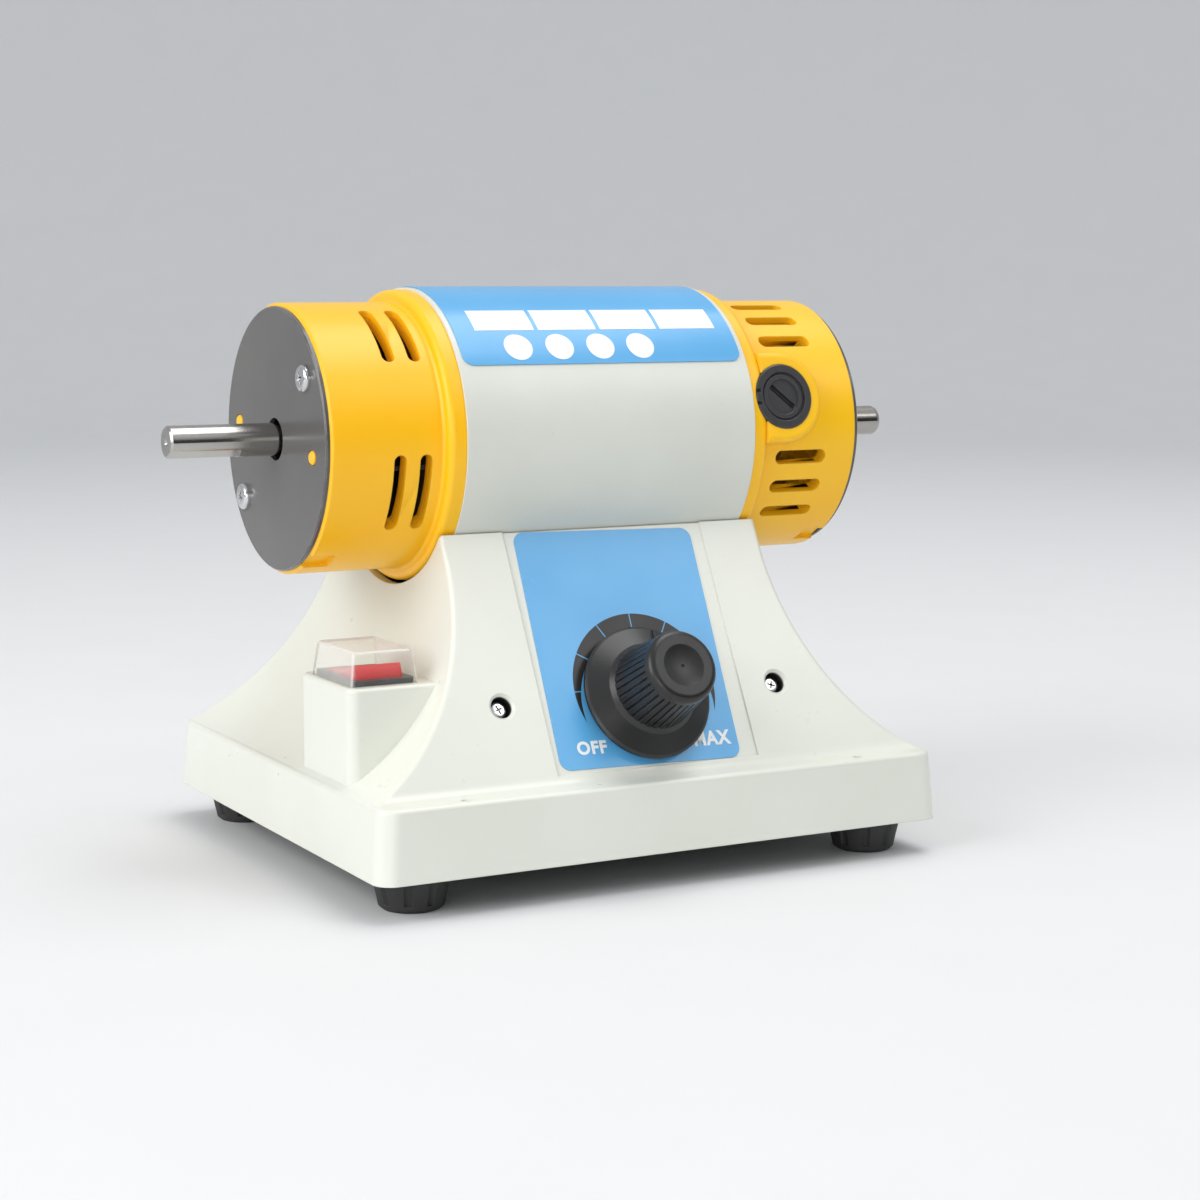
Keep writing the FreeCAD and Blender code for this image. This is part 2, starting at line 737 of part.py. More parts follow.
def make_tube():
    tube = turned("tube_blank", [
        (TUBE_INNER, "-tube_half_length"),
        ("tube_radius", "-tube_half_length"),
        ("tube_radius", "tube_half_length"),
        (TUBE_INNER, "tube_half_length"),
    ], ENDS["right"])
    holes = [rod(f"tube_hole_{side + 1}", "screw_radius + hole_gap", "4 * tube_wall",
                 frame(SPINDLE, at(f"{side} * tube_screw_across", "0", "-tube_radius - tube_wall")))
             for side in (-1, 1)]
    holes.append(rod("lead_hole", "2 * screw_radius", "4 * tube_wall",
                     frame(SPINDLE, at("0", "0", "-tube_radius - tube_wall"))))
    node(cut("motor_tube", tube, holes))


def cap_blank(end):
    """The turned form of an end cap: spigot, rounded flange, drum, end wall and bearing hub."""
    return turned(f"{end}_cap_blank", [
        (f"{SPIGOT_RADIUS} - cap_wall", "tube_half_length - spigot_length"),
        (SPIGOT_RADIUS, "tube_half_length - spigot_length"),
        (SPIGOT_RADIUS, "tube_half_length"),
        (FLANGE_RADIUS, "tube_half_length"),
        (FLANGE_RADIUS, f"{FLANGE_END} - flange_edge", "flange_edge"),
        (f"{FLANGE_RADIUS} - flange_edge", FLANGE_END),
        ("cap_radius + 0.7", FLANGE_END),
        ("cap_radius", f"{FLANGE_END} + 0.7"),
        ("cap_radius", "cap_end - 0.6 * cap_edge"),
        ("cap_radius - cap_edge", "cap_end"),
        ("end_bore", "cap_end"),
        ("end_bore", END_INNER),
        ("bearing_radius + seat_gap", END_INNER),
        ("bearing_radius + seat_gap", BEARING_START),
        (HUB_RADIUS, BEARING_START),
        (HUB_RADIUS, END_INNER),
        (CAP_INNER, END_INNER),
        (CAP_INNER, "tube_half_length + 2 * cap_wall"),
        (f"{SPIGOT_RADIUS} - cap_wall", "tube_half_length + cap_wall"),
    ], ENDS[end])


def cap_fittings(end):
    """What both caps carry at the end wall: screw posts, pegs and ribs, and the cuts for them."""
    place = ENDS[end]
    solids = []
    cuts = []
    for index, (up, across) in enumerate(PLATE_SCREWS):
        solids.append(rod(f"{end}_cap_post_{index}", "post_radius", "13",
                          frame(place, at(up, across, "cap_end - 14"))))
        cuts.append(rod(f"{end}_cap_pilot_{index}", "screw_radius + seat_gap", "12",
                        frame(place, at(up, across, "cap_end - 11"))))
    for index, (up, across) in enumerate(PEGS):
        solids.append(turned(f"{end}_peg_{index}", [
            ("0", "-end_wall / 2"),
            ("peg_radius", "-end_wall / 2"),
            ("peg_radius", "end_plate_thickness"),
            ("peg_radius - 0.5", "end_plate_thickness + 0.5"),
            ("0", "end_plate_thickness + 0.5"),
        ], frame(place, at(up, across, "cap_end"))))
    reach = f"({CAP_INNER} - {HUB_RADIUS} + 1)"
    for index in range(6):
        solids.append(block(f"{end}_rib_{index}", (reach, "rib_thickness", "6"), frame(
            place, turn("Z", f"{60 * index}"), at(f"{HUB_RADIUS} - 0.5 + {reach} / 2", "0", f"{END_INNER} - 2.9"))))
    cuts.append(block(f"{end}_rim_notch", ("rim_notch_size", "rim_notch_size", "cap_wall"), frame(
        radial(f"{SIGNS[end]} * (cap_end - rim_notch_size / 2)", "rim_notch_angle"),
        at("0", "0", "cap_radius - 0.3"))))
    return solids, cuts


def make_left_cap():
    """The fan end, with two rings of slots round the drum."""
    solids, cuts = cap_fittings("left")
    for ring in range(2):
        along = f"-1 * (left_slot_first + {ring} * left_slot_pitch)"
        for index, angle in enumerate(("left_slot_upper", "left_slot_lower")):
            for half in (0, 180):
                name = f"left_slot_{ring}_{index}_{half}"
                begin = f"{half} + {angle} - left_slot_span / 2"
                cuts.append(rod(name, "cap_radius + 1", "left_slot_width", frame(
                    radial(along, begin), turn("Y", "-90"), at("0", "0", "-left_slot_width / 2")),
                    Angle="left_slot_span"))
                for tip in range(2):
                    cuts.append(rod(f"{name}_tip_{tip}", "left_slot_width / 2", "2 * cap_wall", frame(
                        radial(along, f"{begin} + {tip} * left_slot_span"), at("0", "0", f"{CAP_INNER} - 1"))))
    solid = joined("left_cap_solid", [cap_blank("left"), *solids])
    node(cut("left_end_cap", solid, cuts))


def make_right_cap():
    """The brush end, with two brush bosses and short slots along the drum between them."""
    solids, cuts = cap_fittings("right")
    for side, angle in BRUSHES.items():
        solids.append(brush_boss(side, angle))
        cuts.append(rod(f"brush_bore_{side}", "brush_tube_radius + seat_gap", BOSS_FACE,
                        frame(radial("brush_middle", angle), at("0", "0", f"{CAP_INNER} - 8"))))
        cuts.append(rod(f"brush_counterbore_{side}", "brush_flange_radius + seat_gap", BOSS_FACE,
                        frame(radial("brush_middle", angle), at("0", "0", BRUSH_SEAT))))
    for half in (0, 180):
        for row in (-1, 0, 1):
            for index, angle in enumerate(("right_slot_upper", "right_slot_lower")):
                name = f"right_slot_{half}_{row + 1}_{index}"
                spot = radial("right_slot_middle", f"{half} + {angle} + {row} * right_slot_step")
                straight = "(right_slot_length - right_slot_width)"
                cuts.append(block(name, (straight, "right_slot_width", "2 * cap_wall"),
                                  frame(spot, at("0", "0", f"{CAP_INNER} - 1")), standing=True))
                for tip in (-1, 1):
                    cuts.append(rod(f"{name}_tip_{tip + 1}", "right_slot_width / 2", "2 * cap_wall",
                                    frame(spot, at(f"{tip} * {straight} / 2", "0", f"{CAP_INNER} - 1"))))
    solid = joined("right_cap_solid", [cap_blank("right"), *solids])
    node(cut("right_end_cap", solid, cuts))


def make_end_plates():
    screws = []
    for end, place in ENDS.items():
        blank = turned(f"{end}_plate_blank", [
            ("end_plate_bore", "cap_end"),
            ("cap_radius - cap_edge", "cap_end"),
            ("cap_radius - cap_edge", f"{PLATE_FACE} - 0.4"),
            ("cap_radius - cap_edge - 0.4", PLATE_FACE),
            ("end_plate_bore", PLATE_FACE),
        ], place)
        holes = []
        for index, (up, across) in enumerate(PLATE_SCREWS):
            spot = frame(place, at(up, across, "cap_end"))
            holes.append(rod(f"{end}_plate_hole_{index}", "screw_radius + hole_gap", "3 * end_plate_thickness",
                             frame(spot, at("0", "0", "-end_plate_thickness"))))
            screws.append(pan_screw(f"{end}_plate_screw_{index}", frame(spot, at("0", "0", "end_plate_thickness")),
                                    "9"))
        for index, (up, across) in enumerate(PEGS):
            hole = padded(f"{end}_peg_hole_{index}", rounded_rectangle(
                "peg_hole_width / 2", "peg_hole_length / 2", "0.48 * peg_hole_width"),
                "3 * end_plate_thickness", frame(place, at(up, across, "cap_end - end_plate_thickness")))
            holes.append(hole)
        node(cut(f"{end}_end_plate", blank, holes))
    node(group("end_plate_screws", screws))


def make_bracket():
    """The bent steel saddle that carries the tube and is screwed to both sloping walls."""
    top = f"(spindle_height - {CRADLE} / 2)"
    saddle = "(tube_radius + seat_gap)"

    def saddle_block(name, inset, radius):
        prism = sloping_block(name + "_prism", inset, "bracket_bottom", top, "bracket_foot_width")
        return cut(name, prism, [rod(name + "_round", radius, "2 * skirt_half_length",
                                     frame(ENDS["right"], at("0", "0", "-skirt_half_length")))])

    outer = saddle_block("bracket_outer", "bracket_offset", saddle)
    inner = saddle_block("bracket_inner", "(bracket_offset + bracket_sheet)", f"({saddle} + bracket_sheet)")
    cuts = [inner]
    for side in (-1, 1):
        cuts.append(block(f"bracket_side_{side + 1}",
                          ("2 * bracket_half_width", "4 * skirt_half_depth", "spindle_height"),
                          at(f"{side} * 2 * bracket_half_width", "0", "bracket_shoulder"), standing=True))
        cuts.append(rod(f"saddle_hole_{side + 1}", "screw_radius + hole_gap", "4 * bracket_sheet",
                        frame(SPINDLE, at(f"{side} * tube_screw_across", "0", "-tube_radius - 3 * bracket_sheet"))))
    cuts.append(rod("saddle_lead_hole", "2 * screw_radius", "4 * bracket_sheet",
                    frame(SPINDLE, at("0", "0", "-tube_radius - 3 * bracket_sheet"))))
    cuts.append(block("bracket_window", ("2 * pot_radius + 6", "2 * pot_radius + 8", "6 * bracket_sheet"),
                      frame(PANEL, at("0", "0", "panel_depth - bracket_offset"))))
    screws = []
    nuts = []
    for index, (side, x) in enumerate(SIDE_SPOTS):
        spot = slope_frame(side, x, "side_screw_height")
        seat = frame(spot, at("0", "0", "-side_hole_depth"))
        cuts.append(rod(f"leg_hole_{index}", "screw_radius + hole_gap", "2 * bracket_sheet",
                        frame(spot, at("0", "0", "-bracket_offset - 1.5 * bracket_sheet"))))
        screws.append(pan_screw(f"bracket_screw_{index}", seat, "side_screw_length",
                                head="side_hole_radius - body_gap"))
        back = frame(spot, at("0", "0", "-bracket_offset - bracket_sheet - nut_height"))
        nuts.append(cut(f"bracket_nut_{index}", add("Prism", f"nut_blank_{index}", back,
                                                    Circumradius="nut_radius", Height="nut_height"),
                        [rod(f"nut_bore_{index}", "screw_radius + seat_gap", "nut_height", back)]))
    node(cut("motor_bracket", outer, cuts))
    node(group("bracket_screws", screws))
    node(group("bracket_nuts", nuts))
    node(group("motor_screws", [
        pan_screw(f"motor_screw_{side + 1}", frame(
            SPINDLE, at(f"{side} * tube_screw_across", "0", f"-{saddle} - bracket_sheet"), turn("X", "180")), "6")
        for side in (-1, 1)]))


# ---- motor ------------------------------------------------------------------------------------

def make_stator():
    """Yoke with two poles, each with a field coil round it."""
    length = "(2 * stator_half_length)"
    place = frame(ENDS["right"], at("0", "0", "-stator_half_length"))
    bore = rod("stator_bore", "armature_radius + air_gap", length, place)
    ring = cut("yoke", rod("yoke_blank", f"{TUBE_INNER} - seat_gap", length, place),
               [rod("yoke_bore", f"{TUBE_INNER} - yoke_wall", length, place)])

    def sector(name, radius, half_length, span, angle):
        return rod(name, radius, f"2 * {half_length}", frame(
            radial("0", f"{angle} - {span} / 2"), turn("Y", "-90"), at("0", "0", f"-{half_length}")), Angle=span)

    poles = []
    coils = []
    for index, angle in enumerate(("brush_lift + 90", "brush_lift - 90")):
        poles.append(sector(f"pole_{index}", f"{TUBE_INNER} - yoke_wall + 0.5", "stator_half_length",
                            "pole_span", angle))
        coil_length = "(stator_half_length + coil_overhang)"
        coil = sector(f"coil_blank_{index}", "coil_outer", coil_length, "coil_span", angle)
        core = rod(f"coil_bore_{index}", "coil_inner", f"2 * {coil_length}",
                   frame(ENDS["right"], at("0", "0", f"-{coil_length}")))
        gap = sector(f"coil_window_{index}", "coil_outer + 1", "(stator_half_length + body_gap)",
                     "(pole_span + 3)", angle)
        coils.append(cut(f"field_coil_{index}", coil, [core, gap]))
    node(cut("stator_core", joined("stator_solid", [ring, *poles]), [bore]))
    node(group("field_coils", coils))


def make_armature():
    """Shaft, laminated core, windings, commutator and fan, all turning together."""
    along = frame(ENDS["right"], LEVEL)
    shaft = turned("shaft_blank", [
        ("0", "1.6 - shaft_half_length"),
        ("1.2", "-shaft_half_length"),
        ("shaft_radius - 0.6", "-shaft_half_length"),
        ("shaft_radius", "0.6 - shaft_half_length"),
        ("shaft_radius", f"-{RELIEF_END}"),
        ("shaft_radius - relief_depth", f"-{RELIEF_END}"),
        ("shaft_radius - relief_depth", f"-{RELIEF_START}"),
        ("shaft_radius", f"-{RELIEF_START}"),
        ("shaft_radius", f"-{BEARING_START}"),
        ("shaft_core_radius", f"-{BEARING_START}"),
        ("shaft_core_radius", BEARING_START),
        ("shaft_radius", BEARING_START),
        ("shaft_radius", RELIEF_START),
        ("shaft_radius - relief_depth", RELIEF_START),
        ("shaft_radius - relief_depth", RELIEF_END),
        ("shaft_radius", RELIEF_END),
        ("shaft_radius", "shaft_half_length - shaft_tip_round", "shaft_tip_round"),
        ("shaft_radius - shaft_tip_round", "shaft_half_length"),
        ("0", "shaft_half_length"),
    ], along)
    flat = block("shaft_flat", ("flat_length + 2", "3 * shaft_radius", "shaft_radius"), frame(
        radial("flat_length / 2 - shaft_half_length - 1", "flat_angle"),
        at("0", "0", "shaft_radius - flat_depth")), standing=True)
    node(cut("motor_shaft", shaft, [flat]))

    core_place = frame(along, at("0", "0", "-stator_half_length"))
    core = rod("core_blank", "armature_radius", "2 * stator_half_length", core_place)
    slots = [rod("core_bore", "shaft_core_radius", "2 * stator_half_length", core_place)]
    slots += [block(f"core_slot_{index}", ("core_slot_depth", "core_slot_width", "2 * stator_half_length"), frame(
        core_place, turn("Z", f"{30 * index}"), at("armature_radius - core_slot_depth / 2")), standing=True)
        for index in range(12)]
    node(cut("armature_core", core, slots))

    bells = [turned(f"bell_{end}", [
        ("shaft_core_radius + 2.5", "stator_half_length"),
        ("winding_radius", "stator_half_length"),
        ("winding_radius", "stator_half_length + winding_overhang - 5"),
        ("winding_radius - 1.5", "stator_half_length + winding_overhang - 1.5"),
        ("winding_radius - 5", "stator_half_length + winding_overhang"),
        ("shaft_core_radius + 2.5", "stator_half_length + winding_overhang"),
    ], place) for end, place in ENDS.items()]
    node(group("armature_windings", bells))

    copper = turned("commutator_blank", [
        ("shaft_core_radius", "commutator_start"),
        ("commutator_radius + 2.5", "commutator_start"),
        ("commutator_radius + 2.5", "commutator_start + riser_width"),
        ("commutator_radius", "commutator_start + riser_width"),
        ("commutator_radius", "commutator_start + commutator_length"),
        ("shaft_core_radius", "commutator_start + commutator_length"),
    ], along)
    grooves = [block(f"commutator_groove_{index}", ("2", "0.5", "commutator_length"), frame(
        along, turn("Z", f"{15 * index}"), at("commutator_radius", "0", "commutator_start + riser_width")),
        standing=True) for index in range(24)]
    node(cut("commutator", copper, grooves))

    fan_place = frame(ENDS["left"], LEVEL, at("0", "0", "fan_start"))
    disc = turned("fan_disc", [
        ("shaft_core_radius", "0"),
        (FAN_RADIUS, "0"),
        (FAN_RADIUS, "fan_sheet"),
        ("fan_hub_radius", "fan_sheet"),
        ("fan_hub_radius - 1.5", "fan_sheet + 1.5"),
        ("fan_hub_radius - 1.5", "fan_width"),
        ("shaft_core_radius", "fan_width"),
    ], fan_place)
    blade_length = f"({FAN_RADIUS} - fan_hub_radius - 1)"
    blades = [block(f"fan_blade_{index}", (blade_length, "fan_sheet", "fan_width - fan_sheet / 2"), frame(
        fan_place, turn("Z", f"{40 * index}"), at("fan_hub_radius + 2", "0", "fan_sheet / 2"), turn("Z", "-20"),
        at(f"{blade_length} / 2 - 1")), standing=True) for index in range(9)]
    rim = rod("fan_rim", FAN_RADIUS, "fan_width", fan_place)
    node(joined("cooling_fan", [disc, *[common(f"fan_vane_{index}", [blade, rim])
                                        for index, blade in enumerate(blades)]]))


def make_bearings():
    """Two ball bearings: outer races in the caps, inner races and balls turning with the shaft."""
    ball_circle = "((bearing_radius + shaft_radius) / 2)"
    track = "(ball_radius + running_gap)"
    inner = "(shaft_radius + race_wall)"
    outer = "(bearing_radius - race_wall)"
    half_inner = f"sqrt({track}^2 - ({ball_circle} - {inner})^2)"
    half_outer = f"sqrt({track}^2 - ({outer} - {ball_circle})^2)"
    balls = []
    for end, place in ENDS.items():
        middle = frame(place, at("0", "0", f"{BEARING_START} + bearing_width / 2"))
        node(turned(f"{end}_bearing_outer_race", [
            ("bearing_radius", "-bearing_width / 2"),
            ("bearing_radius", "bearing_width / 2"),
            (outer, "bearing_width / 2"),
            (outer, half_outer, f"-1 * {track}"),
            (outer, f"-{half_outer}"),
            (outer, "-bearing_width / 2"),
        ], middle))
        node(turned(f"{end}_bearing_inner_race", [
            ("shaft_radius", "-bearing_width / 2"),
            (inner, "-bearing_width / 2"),
            (inner, f"-{half_inner}", f"-1 * {track}"),
            (inner, half_inner),
            (inner, "bearing_width / 2"),
            ("shaft_radius", "bearing_width / 2"),
        ], frame(middle, LEVEL)))
        for index in range(7):
            balls.append(add("Sphere", f"{end}_ball_{index}", frame(
                middle, turn("Z", f"{index} * 360 / 7"), at(ball_circle)), Radius="ball_radius"))
    node(group("bearing_balls", balls))


# ---- brush gear -------------------------------------------------------------------------------

BRUSH_SEAT = f"({BOSS_FACE} + brush_flange_proud - brush_flange_width)"
BRUSH_END = f"({BOSS_FACE} + 0.1 - brush_cap_length)"
BRUSH_START = "(commutator_radius + brush_gap)"


def brush_boss(side, angle):
    """A boss on the drum: a round end, and straight sides that run up to the flange."""
    reach = f"(brush_middle - {FLANGE_END} + 0.5)"
    low = f"({CAP_INNER} - 6)"
    boss = padded(f"boss_{side}_sharp", [
        (f"-{reach}", "-brush_boss_radius"),
        ("0", "-brush_boss_radius", "brush_boss_radius"),
        ("brush_boss_radius", "0", "brush_boss_radius"),
        ("0", "brush_boss_radius"),
        (f"-{reach}", "brush_boss_radius"),
    ], f"{BOSS_FACE} - {low}", frame(radial("brush_middle", angle), at("0", "0", low)))
    lift = math.radians(number(angle))
    face = number(BOSS_FACE)
    centre = number("spindle_height")
    inner_end = number(FLANGE_END)
    return rounded(f"boss_{side}", boss, "brush_boss_edge", lambda middle: middle.x > inner_end + 0.1 and abs(
        (middle.z - centre) * math.sin(lift) - middle.y * math.cos(lift) - face) < 0.01)


def make_brushes():
    housings = []
    caps = []
    brushes = []
    springs = []
    for side, angle in BRUSHES.items():
        place = radial("brush_middle", angle)
        flange_top = f"({BRUSH_SEAT} + brush_flange_width)"
        blank = turned(f"brush_tube_{side}", [
            ("0", "brush_tube_start"),
            ("brush_tube_radius", "brush_tube_start"),
            ("brush_tube_radius", BRUSH_SEAT),
            ("brush_flange_radius", BRUSH_SEAT),
            ("brush_flange_radius", f"{flange_top} - 0.4"),
            ("brush_flange_radius - 0.4", flange_top),
            ("brush_cap_radius + 0.5", flange_top),
            ("brush_cap_radius + 0.5", f"{flange_top} - 1"),
            ("brush_cap_radius + seat_gap", f"{flange_top} - 1"),
            ("brush_cap_radius + seat_gap", BRUSH_END),
            ("0", BRUSH_END),
        ], place)
        cuts = [block(f"brush_channel_{side}", ("brush_width + 0.2", "brush_thickness + 0.2", BRUSH_END),
                      frame(place, at("0", "0", "brush_tube_start / 2")), standing=True)]
        for notch in (-1, 1):
            cuts.append(block(f"brush_notch_{side}_{notch + 1}", ("2", "1.2", "2"), frame(
                place, at("1 - brush_flange_radius", f"{notch} * 2", flange_top))))
        housings.append(cut(f"brush_housing_{side}", blank, cuts))

        top = f"({BOSS_FACE} + 0.1)"
        cap = turned(f"brush_cap_blank_{side}", [
            ("0", BRUSH_END),
            ("brush_cap_radius", BRUSH_END),
            ("brush_cap_radius", f"{top} - 0.4"),
            ("brush_cap_radius - 0.4", top),
            ("brush_cap_radius - 1.6", top),
            ("brush_cap_radius - 1.6", f"{top} - 0.7"),
            ("0", f"{top} - 0.7"),
        ], place)
        caps.append(cut(f"brush_cap_{side}", cap, [block(
            f"brush_cap_slot_{side}", ("brush_cap_slot", "2", "4"),
            frame(place, turn("Z", "brush_cap_turn"), at("0", "0", f"{top} - 0.5")))]))
        brushes.append(block(f"brush_{side}", ("brush_width", "brush_thickness", "brush_length"),
                             frame(place, at("0", "0", BRUSH_START)), standing=True))
        begin = f"({BRUSH_START} + brush_length + spring_wire + 0.1)"
        coil = add("Helix", f"spring_path_{side}", frame(place, at("0", "0", begin)), Radius="spring_radius",
                   Pitch="spring_pitch", Height=f"{BRUSH_END} - 0.1 - spring_wire - {begin}")
        wire = add("RegularPolygon", f"spring_wire_{side}", frame(
            place, at("spring_radius", "0", begin), turn("X", "90")), Circumradius="spring_wire")
        wire.Polygon = 4
        spring = doc.addObject("Part::Sweep", f"brush_spring_{side}")
        spring.Sections = [wire]
        spring.Spine = (coil, ["Edge1"])
        spring.Solid = True
        spring.Frenet = True
        springs.append(spring)
    node(group("brush_housings", housings))
    node(group("brush_caps", caps))
    node(group("carbon_brushes", brushes))
    node(group("brush_springs", springs))


# ---- speed control ----------------------------------------------------------------------------

def make_speed_control():
    """Potentiometer through the sloping wall, with a fluted knob on its shaft."""
    inside = f"(-1 * {PANEL_WALL} - seat_gap)"
    node(turned("potentiometer_body", [
        ("0", f"{inside} - pot_depth"),
        ("pot_radius", f"{inside} - pot_depth"),
        ("pot_radius", inside),
        ("pot_bushing_radius", inside),
        ("pot_bushing_radius", "pot_bushing_length"),
        ("pot_shaft_radius + running_gap", "pot_bushing_length"),
        ("pot_shaft_radius + running_gap", f"{inside} - pot_depth + 2"),
        ("0", f"{inside} - pot_depth + 2"),
    ], PANEL))
    node(turned("potentiometer_washer", [
        ("pot_bushing_radius + seat_gap", "0"),
        ("pot_nut_radius", "0"),
        ("pot_nut_radius", "washer_thickness"),
        ("pot_bushing_radius + seat_gap", "washer_thickness"),
    ], PANEL))
    nut_place = frame(PANEL, at("0", "0", "washer_thickness"))
    node(cut("potentiometer_nut", add("Prism", "pot_nut_blank", nut_place, Circumradius="pot_nut_radius", Height="2"),
             [rod("pot_nut_bore", "pot_bushing_radius + seat_gap", "2", nut_place)]))

    socket_top = "(knob_lift + 15)"
    node(rod("potentiometer_shaft", "pot_shaft_radius", f"{socket_top} - 0.2 - {inside} + pot_depth - 2.3",
             frame(PANEL, at("0", "0", f"{inside} - pot_depth + 2.3"))))

    cavity = "(pot_nut_radius + 1)"
    skirt_top = "(knob_lift + knob_skirt_edge)"
    grip_low = f"({skirt_top} + knob_skirt_rise)"
    knob = turned("knob_blank", [
        (cavity, "knob_lift"),
        ("knob_skirt_radius - 0.4", "knob_lift"),
        ("knob_skirt_radius", "knob_lift + 0.4"),
        ("knob_skirt_radius", f"{skirt_top} - 0.5"),
        ("knob_skirt_radius - 0.7", skirt_top),
        ("grip_base_radius + 1.2", grip_low),
        ("grip_base_radius", f"{grip_low} + 1.2"),
        ("grip_end_radius", "knob_reach - grip_round", "grip_round"),
        ("grip_end_radius - grip_round", "knob_reach"),
        ("dish_radius", "knob_reach", "-dish_curve"),
        ("0.5", "knob_reach - dish_depth"),
        ("0.5", "knob_reach - dish_depth - 0.4"),
        ("0", "knob_reach - dish_depth - 0.4"),
        ("0", socket_top),
        ("pot_shaft_radius + seat_gap", socket_top),
        ("pot_shaft_radius + seat_gap", "knob_lift + 5.5"),
        (cavity, "knob_lift + 5.5"),
    ], PANEL)
    rise = f"(knob_reach - grip_round - {grip_low} - 1.2)"
    taper = f"atan((grip_base_radius - grip_end_radius) / {rise}) / 1 deg"
    flutes = [add("Prism", f"flute_{index}", frame(
        PANEL, turn("Z", f"{index} * 360 / flute_count"), at("grip_base_radius", "0", f"{grip_low} + 1.5"),
        turn("Y", f"-1 * {taper}"), turn("Z", "180")), Circumradius="flute_depth", Height=f"{rise} - 1.2")
        for index in range(SIZES["flute_count"])]
    for flute in flutes:
        flute.Polygon = 3

    # The pointer is a groove down the skirt's slope, clockwise of the top.
    run = "(knob_skirt_radius - 0.7 - grip_base_radius - 1.2)"
    groove = block("pointer_groove", ("pointer_length", "pointer_width", "2 * pointer_depth"), frame(
        PANEL, turn("Z", "90 - pointer_angle"),
        at(f"knob_skirt_radius - 0.7 - {run} / 2", "0", f"({skirt_top} + {grip_low}) / 2"),
        turn("Y", f"atan(knob_skirt_rise / {run}) / 1 deg"), at("pointer_length / 2 - 2")))
    node(cut("speed_knob", knob, [*flutes, groove]))


# ---- labels -----------------------------------------------------------------------------------

def make_labels():
    """The sheet labels: one in the front field, round the knob, and one over the motor tube."""
    middle = f"(({PANEL_UP} - {PANEL_DOWN}) / 2)"
    half = f"(({PANEL_UP} + {PANEL_DOWN}) / 2 - label_margin)"
    blank = padded("front_label_blank", rounded_rectangle("label_half_width", half, "label_corner"),
                   "label_thickness", frame(PANEL, at("label_shift", middle), turn("Z", "label_turn")))
    node(cut("front_label", blank, [rod("label_hole", "pot_nut_radius + body_gap", "2", frame(
        PANEL, at("0", "0", "-1")))]))

    spot = frame(radial("0", "motor_label_start"), turn("Y", "-90"), at("0", "0", "-motor_label_half_length"))
    length = "2 * motor_label_half_length"
    sheet_radius = "(tube_radius + seat_gap)"
    strip = cut("motor_label_sharp", rod("motor_label_blank", f"{sheet_radius} + label_thickness", length, spot,
                                         Angle="motor_label_span"),
                [rod("motor_label_inside", sheet_radius, length, spot)])
    ends = number("motor_label_half_length")
    limit = number("tube_radius + seat_gap + 0.4 * label_thickness")
    far = number(f"{sheet_radius} + 0.6 * label_thickness")
    axis = number("spindle_height")

    def at_corner(middle):
        return limit < math.hypot(middle.y, middle.z - axis) < far and abs(middle.x) > ends - 0.01

    node(rounded("motor_label", strip, "label_corner", at_corner))


# ---- switch -----------------------------------------------------------------------------------

ROCKER_PIVOT = "(pod_top + bezel_height - 2.4)"


